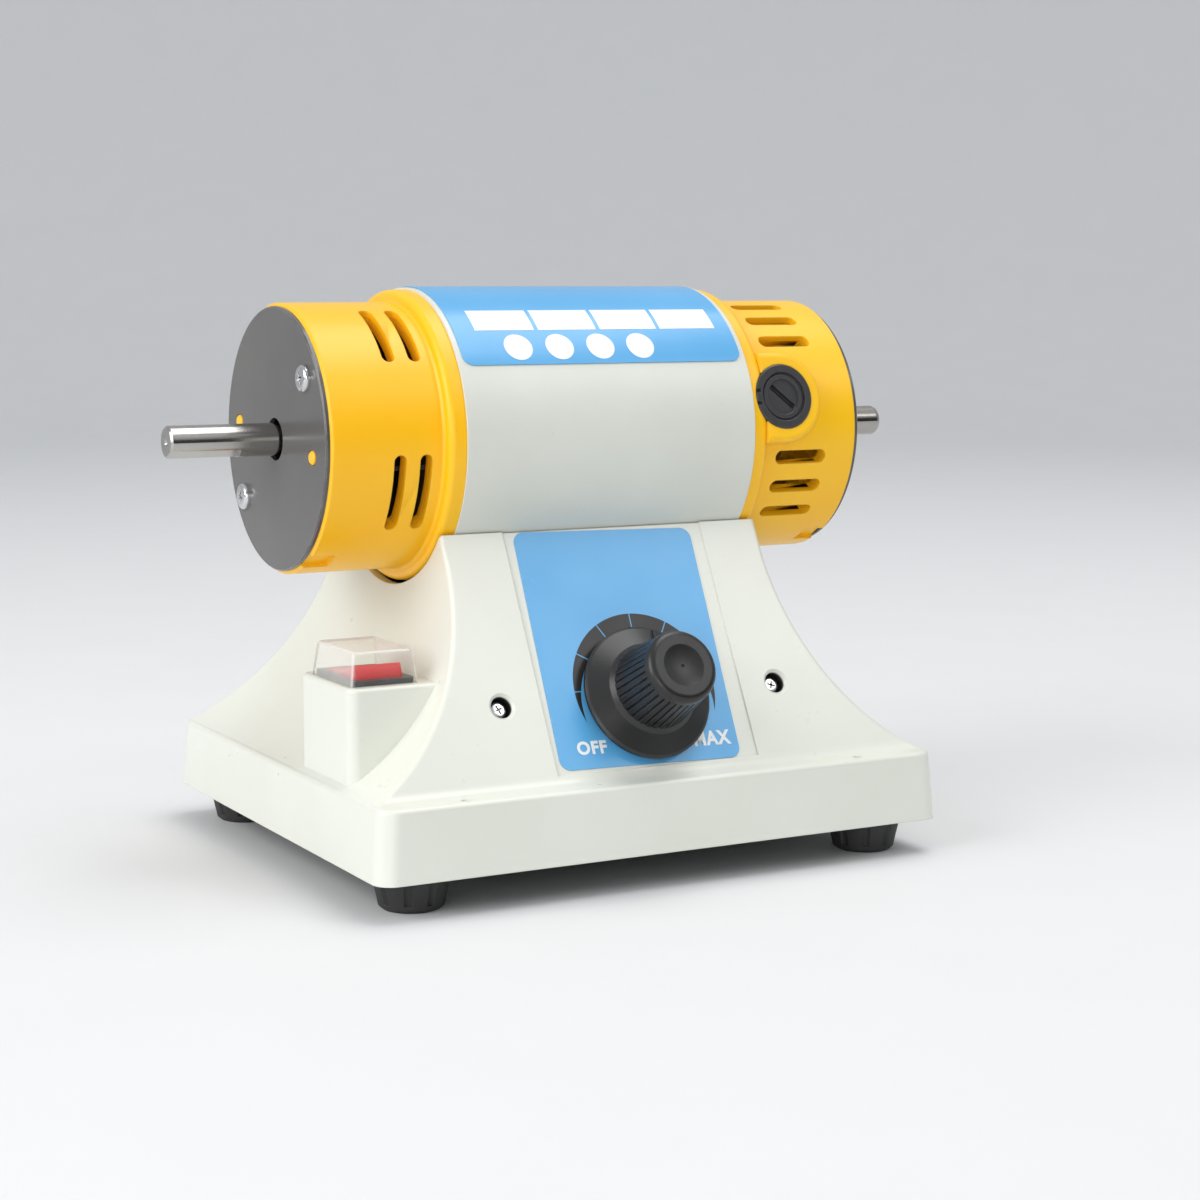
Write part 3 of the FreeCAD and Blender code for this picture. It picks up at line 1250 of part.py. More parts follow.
def make_switch():
    """A rocker switch snapped into the pod's top, under a clear cover."""
    place = at("-switch_across", "-switch_front", "0")
    top = frame(place, at("0", "0", "pod_top"))
    pivot = frame(place, at("0", "0", ROCKER_PIVOT))
    bezel = padded("bezel_blank", rounded_rectangle("bezel_width / 2", "bezel_length / 2", "bezel_corner"),
                   "bezel_height", top)
    box = block("switch_box", ("switch_body_width", "switch_body_length", "switch_body_depth"),
                frame(top, at("0", "0", "-switch_body_depth")), standing=True)
    clear = "(rocker_radius + rocker_gap)"
    cuts = [
        block("rocker_well", ("rocker_width + 2 * rocker_gap", f"2 * {clear}", f"{clear} + 1"),
              frame(pivot, at("0", "0", "-8")), standing=True),
        rod("pivot_hole", "rocker_pivot_radius + running_gap", "rocker_width + 2.4",
            frame(pivot, at("-(rocker_width + 2.4) / 2"), turn("Y", "90"))),
    ]
    node(cut("switch_housing", joined("switch_solid", [bezel, box]), cuts))

    blades = [block(f"blade_{index}", ("0.8", "4.8", "8"),
                    frame(top, at("0", f"{index - 1} * 8", "-switch_body_depth - 8")), standing=True)
              for index in range(3)]
    node(group("switch_terminals", blades))

    # The rocker: round ends about its pivot, a shallow vee on top, tipped with its front end up.
    low, high = "1.5", "4.6"
    low_y = f"sqrt(rocker_radius^2 - {low}^2)"
    high_y = f"sqrt(rocker_radius^2 - {high}^2)"
    tipped = frame(pivot, turn("X", "-rocker_swing"))
    paddle = padded("rocker_paddle", [
        (f"-{low_y}", f"-{low}"),
        ("-4", "-4.5"),
        ("4", "-4.5"),
        (low_y, f"-{low}", "rocker_radius"),
        (high_y, high, "-30"),
        (f"-{high_y}", high, "rocker_radius"),
    ], "rocker_width", tipped, role="YZ_Plane", lift="-rocker_width / 2")
    pin = rod("rocker_pin", "rocker_pivot_radius", "rocker_width + 2",
              frame(pivot, at("-(rocker_width + 2) / 2"), turn("Y", "90")))
    node(joined("rocker", [paddle, pin]))

    # The cover: a thin moulded box with sloping sides, round the bezel and down on the pod.
    def hood(name, inset, low, high):
        half_x = f"(bezel_width / 2 + cover_fit + cover_wall - {inset})"
        half_y = f"(bezel_length / 2 + cover_fit + cover_wall - {inset})"
        return add("Wedge", name, frame(top, turn("X", "90")),
                   Ymin=low, Ymax=high, Xmin=f"-{half_x}", Xmax=half_x, Zmin=f"-{half_y}", Zmax=half_y,
                   X2min=f"-({half_x} - cover_taper)", X2max=f"{half_x} - cover_taper",
                   Z2min=f"-({half_y} - cover_taper)", Z2max=f"{half_y} - cover_taper")

    outer = rounded("hood_outer", hood("hood_sharp", "0", "0", "cover_height"), "2",
                    lambda middle: middle.z > number("pod_top") + 0.1)
    inner = hood("hood_inner", "cover_wall", "-0.01", "cover_height - cover_wall")
    node(cut("switch_cover", outer, [inner]))


# ---- electronics and mains inlet --------------------------------------------------------------

def make_electronics():
    """The speed-control board on four spacers above the floor plate, and its larger components."""
    deck = frame(at("0", "board_back", FLOOR_TOP), at("0", "0", "board_lift"))
    face = frame(deck, at("0", "0", "board_thickness"))
    holes = []
    spacers = []
    screws = []
    for index, (x, y) in enumerate([(x, y) for x in (-1, 1) for y in (-1, 1)]):
        spot = at(f"{x} * (board_length / 2 - board_screw_inset)", f"{y} * (board_width / 2 - board_screw_inset)")
        base = frame(deck, spot, at("0", "0", "-board_lift"))
        holes.append(rod(f"board_hole_{index}", "small_screw_radius + hole_gap", "2 * board_thickness",
                         frame(deck, spot, at("0", "0", "-board_thickness / 2"))))
        spacers.append(cut(f"spacer_{index}", rod(f"spacer_blank_{index}", "spacer_radius", "board_lift", base),
                           [rod(f"spacer_bore_{index}", "small_screw_radius + seat_gap", "board_lift", base)]))
        screws.append(pan_screw(f"board_screw_{index}", frame(face, spot), "board_lift", "small_screw_radius",
                                "2 * small_screw_radius"))
    node(cut("control_board", block("board_blank", ("board_length", "board_width", "board_thickness"), deck,
                                    standing=True), holes))
    node(group("board_spacers", spacers))
    node(group("board_screws", screws))

    node(block("film_capacitor", ("26", "11", "19"), frame(face, at("-18", "12", "0")), standing=True))
    fins = [block("sink_web", ("30", "3", "26"), frame(face, at("16", "-10", "0")), standing=True)]
    for index in range(5):
        fins.append(block(f"sink_fin_{index}", ("2", "10", "26"),
                          frame(face, at(f"16 + {index - 2} * 7", "-15", "0")), standing=True))
    node(joined("triac_heatsink", fins))
    node(joined("triac", [
        block("triac_case", ("10", "4.5", "9"), frame(face, at("16", "-6.2", "4")), standing=True),
        block("triac_tab", ("10", "1.3", "15"), frame(face, at("16", "-7.8", "4")), standing=True),
        block("triac_legs", ("6", "0.8", "4"), frame(face, at("16", "-6.2", "0")), standing=True),
    ]))
    node(turned("choke", [
        ("5", "-4"), ("12", "-4"), ("12.5", "-3.5"), ("12.5", "3.5"), ("12", "4"), ("5", "4"), ("4.5", "3.5"),
        ("4.5", "-3.5"),
    ], frame(face, at("14", "10", "12.5"), turn("Y", "90"))))
    node(block("terminal_block", ("20", "9", "11"), frame(face, at("-18", "-12", "0")), standing=True))


def make_gland():
    """The cord inlet at the back of the skirt and the nut that holds it from inside."""
    node(turned("cable_gland", [
        ("cord_bore", "-wall - nut_height - 1"),
        ("gland_radius - 1.2", "-wall - nut_height - 1"),
        ("gland_radius - 1.2", "0"),
        ("gland_radius + 1.3", "0"),
        ("gland_radius + 1.3", "2"),
        ("gland_radius", "2.5"),
        ("gland_radius - 0.8", "gland_reach - 1"),
        ("gland_radius - 1.8", "gland_reach"),
        ("cord_bore + 0.6", "gland_reach"),
        ("cord_bore", "gland_reach - 0.6"),
    ], GLAND))
    place = frame(GLAND, at("0", "0", "-wall - nut_height"))
    blank = add("Prism", "gland_nut_blank", place, Circumradius="gland_radius + 2", Height="nut_height")
    node(cut("gland_nut", blank, [rod("gland_nut_bore", "gland_radius - 1.2 + seat_gap", "nut_height", place)]))


make_base_shell()
make_floor()
make_tube()
make_left_cap()
make_right_cap()
make_end_plates()
make_bracket()
make_stator()
make_armature()
make_bearings()
make_brushes()
make_speed_control()
make_labels()
make_switch()
make_electronics()
make_gland()

doc.recompute()
faults = [f"{item.Name}: {item.State}" for item in doc.Objects if {"Invalid", "Error"} & set(item.State)]
faults += [f"{item.Label} has no valid shape" for item in nodes if item.Shape.isNull() or not item.Shape.isValid()]
if faults:
    raise RuntimeError("; ".join(faults))

os.makedirs("parts", exist_ok=True)
for item in nodes:
    item.Shape.exportStep(f"parts/{item.Label}.step")
print(len(nodes), "sub-parts")
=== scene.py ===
# %% [markdown]
# # A two-ended bench polishing lathe
# A small motor lies in the saddle of a moulded base. Its shaft comes out at both ends for buffs and
# brushes, a knob on the sloping front sets the speed, and a rocker switch sits on a pod at the left.
# The rigid parts come from CAD and keep their shapes. This script gives every surface its finish and
# adds what is too fine for CAD: the cross recesses of the screws and the print on the labels.

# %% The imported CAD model
import json
import math

import bpy
from mathutils import Matrix, Vector


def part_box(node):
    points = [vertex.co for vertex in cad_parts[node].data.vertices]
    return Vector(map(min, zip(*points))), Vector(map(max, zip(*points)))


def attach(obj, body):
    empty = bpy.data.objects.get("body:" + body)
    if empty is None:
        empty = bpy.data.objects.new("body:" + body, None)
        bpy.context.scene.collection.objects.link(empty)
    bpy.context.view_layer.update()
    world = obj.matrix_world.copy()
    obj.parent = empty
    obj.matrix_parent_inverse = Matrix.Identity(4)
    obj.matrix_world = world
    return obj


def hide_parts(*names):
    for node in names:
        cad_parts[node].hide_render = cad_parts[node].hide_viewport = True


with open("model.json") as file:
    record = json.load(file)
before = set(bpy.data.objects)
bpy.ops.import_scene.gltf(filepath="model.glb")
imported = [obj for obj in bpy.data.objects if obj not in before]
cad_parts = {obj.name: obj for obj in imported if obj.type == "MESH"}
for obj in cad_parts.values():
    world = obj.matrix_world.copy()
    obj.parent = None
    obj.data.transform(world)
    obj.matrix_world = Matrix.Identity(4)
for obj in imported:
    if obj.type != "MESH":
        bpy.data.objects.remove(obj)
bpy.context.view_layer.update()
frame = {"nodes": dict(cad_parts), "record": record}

# %% [markdown]
# ## Camera
# The lathe is seen from its front left corner, a little from above, with a long lens so that the
# base hardly tapers. The camera's three axes are worked out from the direction it looks in and
# written into one matrix, which leaves no doubt about the order of the turns.

# %% Camera
CAMERA_PLACE = Vector((-0.365872, -0.698015, 0.182028))
LOOK = Vector((0.4791026, 0.8676614, -0.1327571)).normalized()
ROLL = 0.003
LENS = 73.76

level_right = LOOK.cross(Vector((0, 0, 1))).normalized()
level_up = level_right.cross(LOOK)
right = math.cos(ROLL) * level_right + math.sin(ROLL) * level_up
up = math.cos(ROLL) * level_up - math.sin(ROLL) * level_right

camera = bpy.data.objects.new("camera", bpy.data.cameras.new("camera"))
bpy.context.scene.collection.objects.link(camera)
camera.data.lens = LENS
camera.data.sensor_width = 36
camera.data.clip_end = 30
turned = Matrix((right, up, -LOOK)).transposed().to_4x4()
camera.matrix_world = Matrix.Translation(CAMERA_PLACE) @ turned
bpy.context.scene.camera = camera
print("camera looks along", [round(v, 3) for v in LOOK])

# %% [markdown]
# ## Helpers for modelling
# Blender's operators act on all that is selected, so each step first clears the selection and then
# picks faces or edges by where they are. A piece keeps its place in its mesh from the start, so that
# a pattern laid out in object coordinates sits still on it.

# %% Selecting
def only(*objects):
    """Select these objects and nothing else. The first is the active one."""
    bpy.ops.object.select_all(action="DESELECT")
    for obj in objects:
        obj.select_set(True)
    bpy.context.view_layer.objects.active = objects[0]


def pick(obj, mode, test):
    """Enter edit mode with those faces or edges selected whose middle passes the test."""
    only(obj)
    bpy.context.tool_settings.mesh_select_mode = (False, mode == "EDGE", mode == "FACE")
    mesh = obj.data
    for group in (mesh.vertices, mesh.edges, mesh.polygons):
        for item in group:
            item.select = False
    for item in mesh.polygons if mode == "FACE" else mesh.edges:
        middle = sum((mesh.vertices[i].co for i in item.vertices), Vector()) / len(item.vertices)
        item.select = bool(test(middle))
    bpy.ops.object.mode_set(mode="EDIT")


# %% Starting a mesh
def bake_place(obj, place=Matrix()):
    """Put the object's place, and a further one, into its mesh, and leave it at the origin."""
    obj.data.transform(place @ obj.matrix_world)
    obj.matrix_world = Matrix()
    return obj


def cylinder(radius, low, high, corners, x=0, y=0):
    """An upright cylinder from the height low to the height high."""
    bpy.ops.object.select_all(action="DESELECT")
    bpy.ops.mesh.primitive_cylinder_add(vertices=corners, radius=radius, depth=high - low,
                                        location=(x, y, (low + high) / 2))
    return bake_place(bpy.context.object)


def block(length, width, height, place=Matrix()):
    """A block round the origin, then moved to its place."""
    bpy.ops.object.select_all(action="DESELECT")
    bpy.ops.mesh.primitive_cube_add(size=1)
    return bake_place(bpy.context.object, place @ Matrix.Diagonal((length, width, height, 1)))


# %% Finishing a mesh
def boolean(obj, operation, *cutters):
    """Cut, join or meet obj with the cutters, which are then removed."""
    for cutter in cutters:
        step = obj.modifiers.new("boolean", "BOOLEAN")
        step.operation = operation
        step.object = cutter
        step.solver = "EXACT"
        only(obj)
        bpy.ops.object.modifier_apply(modifier=step.name)
        bpy.data.objects.remove(cutter)


def settled(obj, name, place=Matrix()):
    """Move the mesh to its place, with the object left at the origin, and shade it."""
    bake_place(obj, place)
    obj.name = obj.data.name = name
    only(obj)
    bpy.ops.object.mode_set(mode="EDIT")
    bpy.ops.mesh.select_all(action="SELECT")
    bpy.ops.mesh.remove_doubles(threshold=1e-7)
    bpy.ops.mesh.normals_make_consistent(inside=False)
    bpy.ops.object.mode_set(mode="OBJECT")
    bpy.ops.object.shade_smooth_by_angle(angle=math.radians(35))
    return obj


# %% [markdown]
# ## Floor and light
# The lathe stands on a plain pale floor that curves up into a wall on every side, as a studio's cove
# does, so no horizon shows from any angle. It is a wide open cylinder whose lower rim is bevelled
# into a large round. The strongest soft light stands at the left and lights the end of the motor and
# of the base. A weak one stands low in front and lifts the underside of the round caps, one at the
# upper right gives the knob's face its sheen, and one hangs above. A studio also has a black card,
# because bright metal and gloss need something dark to mirror: here it stands upright on the front
# right. The camera sees neither the lights nor the card.

# %% Floor
COVE_RADIUS, COVE_HEIGHT, COVE_ROUND = 3.2, 1.7, 1.3

cove = cylinder(COVE_RADIUS, 0, COVE_HEIGHT, 96)
pick(cove, "FACE", lambda middle: middle.z > COVE_HEIGHT - 0.01)
bpy.ops.mesh.delete(type="FACE")
bpy.ops.object.mode_set(mode="OBJECT")
pick(cove, "EDGE", lambda middle: middle.z < 0.01)
bpy.ops.mesh.bevel(offset=COVE_ROUND, segments=16, affect="EDGES")
bpy.ops.mesh.select_all(action="SELECT")
bpy.ops.mesh.flip_normals()
bpy.ops.object.mode_set(mode="OBJECT")
bpy.ops.object.shade_smooth()
cove.name = "floor_cove"
print("floor", len(cove.data.polygons), "faces")

# %% Light
WARM = (1.0, 0.99, 0.97)
MOTOR = (0, 0, 0.12)


def soft_light(name, place, size, power, colour=(1, 1, 1)):
    """A lit rectangle that faces the motor, with its size in metres and its power in watts."""
    lamp = bpy.data.objects.new(name, bpy.data.lights.new(name, "AREA"))
    lamp.data.shape = "RECTANGLE"
    lamp.data.size, lamp.data.size_y = size
    lamp.data.energy = power
    lamp.data.color = colour
    lamp.location = place
    lamp.rotation_euler = (Vector(MOTOR) - Vector(place)).to_track_quat("-Z", "Y").to_euler()
    lamp.visible_camera = False
    bpy.context.scene.collection.objects.link(lamp)


soft_light("left_light", (-1.5, -0.25, 0.85), (1.1, 1.1), 16, WARM)
soft_light("front_light", (-0.9, -1.45, 0.35), (0.9, 0.6), 4.5, WARM)
soft_light("right_light", (0.95, -1.15, 1.30), (0.5, 0.5), 2.5, WARM)
soft_light("top_light", (0.45, -0.1, 1.7), (1.3, 0.9), 13)

world = bpy.data.worlds.new("studio")
world.use_nodes = True
background = world.node_tree.nodes["Background"]
background.inputs["Color"].default_value = (0.95, 0.97, 1.0, 1)
background.inputs["Strength"].default_value = 0.6
bpy.context.scene.world = world
bpy.context.scene.view_settings.view_transform = "Standard"
print("lights", [light.name for light in bpy.data.lights])

# %% Black card
CARD_RADIUS, CARD_HEIGHT = 1.9, 0.75
CARD_FROM, CARD_TO = -8, 62


def off_card(middle):
    """The lids of the card's cylinder, and the part of its wall outside the card's two angles."""
    turn = math.degrees(math.atan2(middle.x, -middle.y))
    return not CARD_FROM < turn < CARD_TO or abs(middle.z - CARD_HEIGHT / 2) > 0.1


card = cylinder(CARD_RADIUS, 0, CARD_HEIGHT, 72)
pick(card, "FACE", off_card)
bpy.ops.mesh.delete(type="FACE")
bpy.ops.mesh.select_all(action="SELECT")
bpy.ops.mesh.flip_normals()
bpy.ops.object.mode_set(mode="OBJECT")
card.name = "black_card"
card.visible_camera = False
print("card", len(card.data.polygons), "faces")

# %% [markdown]
# ## Where the screws are
# CAD gives each set of screws as one node with plain heads. A merged copy of the node is split into
# its separate solids, and the points of each give the middle of its head, along the direction in
# which the head faces. The screws get their cross recesses from these places later, and the sunk
# ones say where the holes in the base are, whose walls get painted shade inside.

# %% Solids of a node
def solids_of(node):
    """The corner points of each separate solid of a CAD node."""
    copy = bpy.data.objects.new("solids", frame["nodes"][node].data.copy())
    bpy.context.scene.collection.objects.link(copy)
    only(copy)
    bpy.ops.object.mode_set(mode="EDIT")
    bpy.ops.mesh.select_all(action="SELECT")
    bpy.ops.mesh.remove_doubles(threshold=1e-6)
    bpy.ops.mesh.separate(type="LOOSE")
    bpy.ops.object.mode_set(mode="OBJECT")
    parts = list(bpy.context.selected_objects)
    points = [[vertex.co.copy() for vertex in part.data.vertices] for part in parts]
    for part in parts:
        bpy.data.objects.remove(part)
    return points


# %% Screw places
def screw_place(points, facing):
    """The matrix of a screw, z along its head's facing and the origin on the head, and its length."""
    reach = [point.dot(facing) for point in points]
    top = [point for point, along in zip(points, reach) if along > max(reach) - 1e-5]
    middle = sum(top, Vector()) / len(top)
    turn = facing.to_track_quat("Z", "Y").to_matrix().to_4x4()
    return Matrix.Translation(middle) @ turn, max(reach) - min(reach)


FRONT_SLOPE = Vector((0, -0.883109, 0.469171))
BACK_LEAN = math.radians(31.145)
BACK_SLOPE = Vector((0, math.cos(BACK_LEAN), math.sin(BACK_LEAN)))
SCREWS_FACE = {
    "end_plate_screws": lambda middle: Vector((math.copysign(1, middle.x), 0, 0)),
    "bracket_screws": lambda middle: FRONT_SLOPE if middle.y < 0 else BACK_SLOPE,
    "foot_screws": lambda middle: Vector((0, 0, -1)),
}
SCREW_PLACES = {
    node: [screw_place(points, facing(sum(points, Vector()) / len(points)))
           for points in solids_of(node)]
    for node, facing in SCREWS_FACE.items()}
print("screws", {node: len(places) for node, places in SCREW_PLACES.items()})

# %% [markdown]
# ## Shader arithmetic
# A finish is a small graph of nodes. Written node by node it is hard to read, so one output of a
# node is wrapped in a class whose operators add Math nodes: 1 - mask then means what it says. Places
# and colours are three numbers at once, so they go through Vector Math and Mix nodes instead.

# %% Links
class Link:
    """One output of a node in a material. Arithmetic on it adds Math nodes."""

    def __init__(self, tree, socket):
        self.tree = tree
        self.socket = socket

    def node(self, kind, settings=None, inputs=None, output=0):
        """Add a node to the same material: its settings first, then its sockets."""
        made = self.tree.nodes.new(kind)
        for name, value in (settings or {}).items():
            setattr(made, name, value)
        for name, value in (inputs or {}).items():
            if isinstance(value, Link):
                value.into(made, name)
            else:
                made.inputs[name].default_value = value
        return Link(self.tree, made.outputs[output])

    def into(self, node, name):
        """Lead this output into a node's input."""
        self.tree.links.new(self.socket, node.inputs[name])

    def math(self, operation, *values):
        """Add a Math node for numbers."""
        return self.node("ShaderNodeMath", {"operation": operation}, dict(enumerate(values)))

    def vector(self, operation, *values, output=0):
        """Add a Vector Math node. Its output is "Value" where the result is one number."""
        return self.node("ShaderNodeVectorMath", {"operation": operation},
                         dict(enumerate(values)), output)

    def __add__(self, other):
        return self.math("ADD", self, other)

    def __mul__(self, other):
        return self.math("MULTIPLY", self, other)

    def __sub__(self, other):
        return self.math("SUBTRACT", self, other)

    def __rsub__(self, other):
        return self.math("SUBTRACT", other, self)

    def __lt__(self, other):
        return self.math("LESS_THAN", self, other)

    __radd__ = __add__
    __rmul__ = __mul__


# %% Colours and patterns
def paint(red, green, blue):
    """A colour given as a screen shows it, from 0 to 255, in the linear values that shaders use."""
    shares = [value / 255 for value in (red, green, blue)]
    return (*[s / 12.92 if s <= 0.04045 else ((s + 0.055) / 1.055) ** 2.4 for s in shares], 1.0)


def blend(mask, first, second):
    """From the first colour to the second as the mask goes from 0 to 1."""
    return mask.node("ShaderNodeMix", {"data_type": "RGBA"}, {0: mask, 6: first, 7: second}, 2)


def noise(place, size, detail=2.0, stretch=(1.0, 1.0, 1.0)):
    """A soft pattern from 0 to 1 with spots about size metres wide, longer where stretch is small."""
    spot = place.node("ShaderNodeMapping", {}, {"Vector": place, "Scale": stretch})
    return spot.node("ShaderNodeTexNoise", {}, {"Vector": spot, "Scale": 1 / size, "Detail": detail})


def contrast(mask, low, high):
    """Stretch the part of a mask between low and high to the whole range from 0 to 1."""
    return mask.node("ShaderNodeMapRange", {"interpolation_type": "SMOOTHSTEP"},
                     {"Value": mask, "From Min": low, "From Max": high})


def bumped(normal, height, drop):
    """The normal of a surface that rises by drop metres where the height goes from 0 to 1."""
    return normal.node("ShaderNodeBump", {}, {"Height": height, "Distance": drop, "Normal": normal})


# %% [markdown]
# ## The basis of every finish
# Nearly every surface here is the same in kind: a base colour that drifts a little, a grain that
# breaks up the gloss, and edges that are slightly round, slightly rubbed and painted lighter, partly
# for wear and partly as a painted highlight. The Bevel node gives the rounded normal, and where it
# differs from the true one there is an edge, so it serves for both.

# %% Basis
def finish(name, colour, drift, roughness, grain, depth, edge=0.0003, edge_wear_and_highlight=None, rub_gloss=0.0,
           metallic=0.0, coat=0.0, stretch=(1.0, 1.0, 1.0), relief=None, specks=None, painted_shade=None):
    """A material whose colour drifts to a second one, with grain of one size and depth, in metres.

    relief is a function of the place that gives a further height from 0 to 1 and its depth, specks is
    the size, the colour and the share of small spots, and the shade function gives, from the place,
    where shade is painted into the colour and the colour painted there. The lighter colour given for
    the edges stands partly for wear and partly for a painted highlight.
    """
    material = bpy.data.materials.new(name)
    material.use_nodes = True
    shader = material.node_tree.nodes["Principled BSDF"]
    shader.inputs["Metallic"].default_value = metallic
    shader.inputs["Coat Weight"].default_value = coat
    shader.inputs["Coat Roughness"].default_value = 0.12
    tree = material.node_tree
    place = Link(tree, tree.nodes.new("ShaderNodeTexCoord").outputs["Object"])

    rounded = place.node("ShaderNodeBevel", {"samples": 4}, {"Radius": edge})
    true = place.node("ShaderNodeNewGeometry", output="Normal")
    facing = place.vector("DOT_PRODUCT", rounded, true, output="Value")
    worn_and_highlit_edges = contrast(1 - facing, 0.02, 0.2) * contrast(noise(place, 0.004), 0.3, 0.6)

    base = blend(contrast(noise(place, 0.05, 3.0), 0.3, 0.7), colour, drift)
    if specks:
        size, spot_colour, share = specks
        base = blend(contrast(noise(place, size, 1.0), 1 - share, 1.02 - share), base, spot_colour)
    # The edges get a lighter colour, partly for wear and partly as a painted highlight.
    if edge_wear_and_highlight:
        base = blend(worn_and_highlit_edges, base, edge_wear_and_highlight)
    # Painted shade: the colour turns darker where little light reaches.
    if painted_shade:
        where, shade = painted_shade(place)
        base = blend(where, base, shade)
    base.into(shader, "Base Color")

    fine = noise(place, grain, 3.0, stretch)
    gloss = roughness + 0.10 * (noise(place, 0.012, 3.0) - 0.5) + 0.06 * (fine - 0.5)
    (gloss - rub_gloss * worn_and_highlit_edges).into(shader, "Roughness")

    normal = rounded
    if relief:
        height, drop = relief(place)
        normal = bumped(normal, height, drop)
    bumped(normal, fine, depth).into(shader, "Normal")
    return material


# %% [markdown]
# ## The base moulding
# The base is a glossy off-white moulding with a faint orange peel from its mould, and its light edges
# catch the studio. The grain is a little over two millimetres wide and a few hundredths deep, which
# shows only where a reflection runs over it. Its four screw holes lead into the unlit inside of the
# moulding, so shade is painted on their walls, dark from a little below the mouth. The sheet below
# the base is black painted steel.

# %% Painted shade in the screw holes
HOLE_DEPTH = 0.005
HOLE_REACH = 0.0036
SHADE_FROM, SHADE_TO = 0.0006, 0.0018
HEAD_HEIGHT = 0.002


def hole_wall_painted_shade(place):
    """Painted shade on the walls of the four screw holes in the slopes, from a little below their mouths
    down.
    """
    walls = 0.0
    for matrix, length in SCREW_PLACES["bracket_screws"]:
        facing = matrix.col[2].to_3d()
        mouth = matrix.translation + (HOLE_DEPTH - HEAD_HEIGHT) * facing
        away = place.vector("SUBTRACT", place, mouth)
        rise = away.vector("DOT_PRODUCT", away, facing, output="Value")
        side = away.vector("CROSS_PRODUCT", away, facing)
        reach = side.vector("LENGTH", side, output="Value")
        walls = walls + (reach < HOLE_REACH) * contrast(0 - rise, SHADE_FROM, SHADE_TO)
    # The colour of the painted shade inside the holes.
    return walls, paint(30, 30, 29)


# %% Base moulding and floor sheet
FINISHES = {}
FINISHES["shell"] = finish(
    "shell_offwhite", paint(227, 229, 220), paint(223, 225, 215), 0.30, 0.0022, 0.00003, edge=0.0005,
    edge_wear_and_highlight=paint(244, 245, 238), rub_gloss=0.08, coat=0.15, specks=(0.0012, paint(176, 174, 164), 0.13),
    painted_shade=hole_wall_painted_shade)
FINISHES["floor_plate"] = finish(
    "floor_sheet_paint", paint(52, 53, 56), paint(46, 47, 49), 0.45, 0.0008, 0.00002,
    edge_wear_and_highlight=paint(110, 110, 112), rub_gloss=0.1)

# %% [markdown]
# ## The motor's paint
# The tube is painted pale grey with a satin gloss. Fine dust sits in the paint as dark specks. The
# caps are moulded in a warm yellow that turns to orange in the shade, with a matt skin. The end wall
# of a cap shows in the gaps that its end plate leaves round the pegs and the shaft. No light gets
# behind the plate, so shade is painted on the wall there, and in the hole for the shaft.

# %% Tube and caps
SPINDLE = Vector((0, 0, 0.13125))
CAP_END = 0.0915
PLATE_SEAT_RADIUS = 0.0395
SHAFT_HOLE_RADIUS = 0.0105


def cap_wall_painted_shade(place):
    """Painted shade on the end wall of each cap, as far out as the plate covers it, and in the hole for
    the shaft.
    """
    away = place.vector("SUBTRACT", place, SPINDLE)
    across = away.vector("MULTIPLY", away, (0, 1, 1))
    reach = across.vector("LENGTH", across, output="Value")
    spread = away.vector("ABSOLUTE", away)
    along = spread.node("ShaderNodeSeparateXYZ", {}, {0: spread}, 0)
    at_end = (along < CAP_END + 0.0001) * (1 - (along < CAP_END - 0.0003))
    wall = at_end * (reach < PLATE_SEAT_RADIUS)
    # The wall and the shaft hole get a painted shade colour.
    return wall.math("MAXIMUM", wall, reach < SHAFT_HOLE_RADIUS), paint(22, 20, 18)


FINISHES["tube_paint"] = finish(
    "tube_grey_paint", paint(219, 222, 214), paint(213, 216, 207), 0.34, 0.0012, 0.00002, edge=0.0004,
    edge_wear_and_highlight=paint(236, 238, 232), rub_gloss=0.05, specks=(0.0009, paint(120, 120, 112), 0.17))
FINISHES["cap_paint"] = finish(
    "cap_yellow", paint(255, 199, 22), paint(255, 191, 15), 0.36, 0.0009, 0.000018, edge=0.0006,
    edge_wear_and_highlight=paint(255, 210, 80), rub_gloss=0.06, painted_shade=cap_wall_painted_shade)

# %% [markdown]
# ## The black end plates
# Each end is closed by a thin black disc with a clear gloss. Handling has left hair-fine scratches,
# which are a noise drawn out long in one direction, too shallow to see but for their glint.

# %% End plates
def scratches(place):
    """Fine lines lying across the disc in one direction."""
    lines = noise(place, 0.0005, 2.0, (1.0, 0.06, 1.0))
    return contrast(lines, 0.62, 0.75), 0.000006


FINISHES["black_plate"] = finish(
    "end_plate_black", paint(91, 89, 87), paint(83, 81, 80), 0.24, 0.0009, 0.000008, edge=0.0003,
    edge_wear_and_highlight=paint(205, 205, 204), rub_gloss=0.05, coat=0.2, relief=scratches,
    specks=(0.0010, paint(170, 168, 166), 0.165))

# %% [markdown]
# ## Bright metal
# The shaft was turned and ground, so its tool marks run round it: a noise squeezed along the shaft
# and drawn out the other two ways gives rings. The screws are plated, and brighter.

# %% Shaft, bearings, screws
def turned_rings(place):
    """Rings round the spindle, a fifth of a millimetre apart."""
    return noise(place, 0.0002, 2.0, (1.0, 0.01, 0.01)), 0.000006


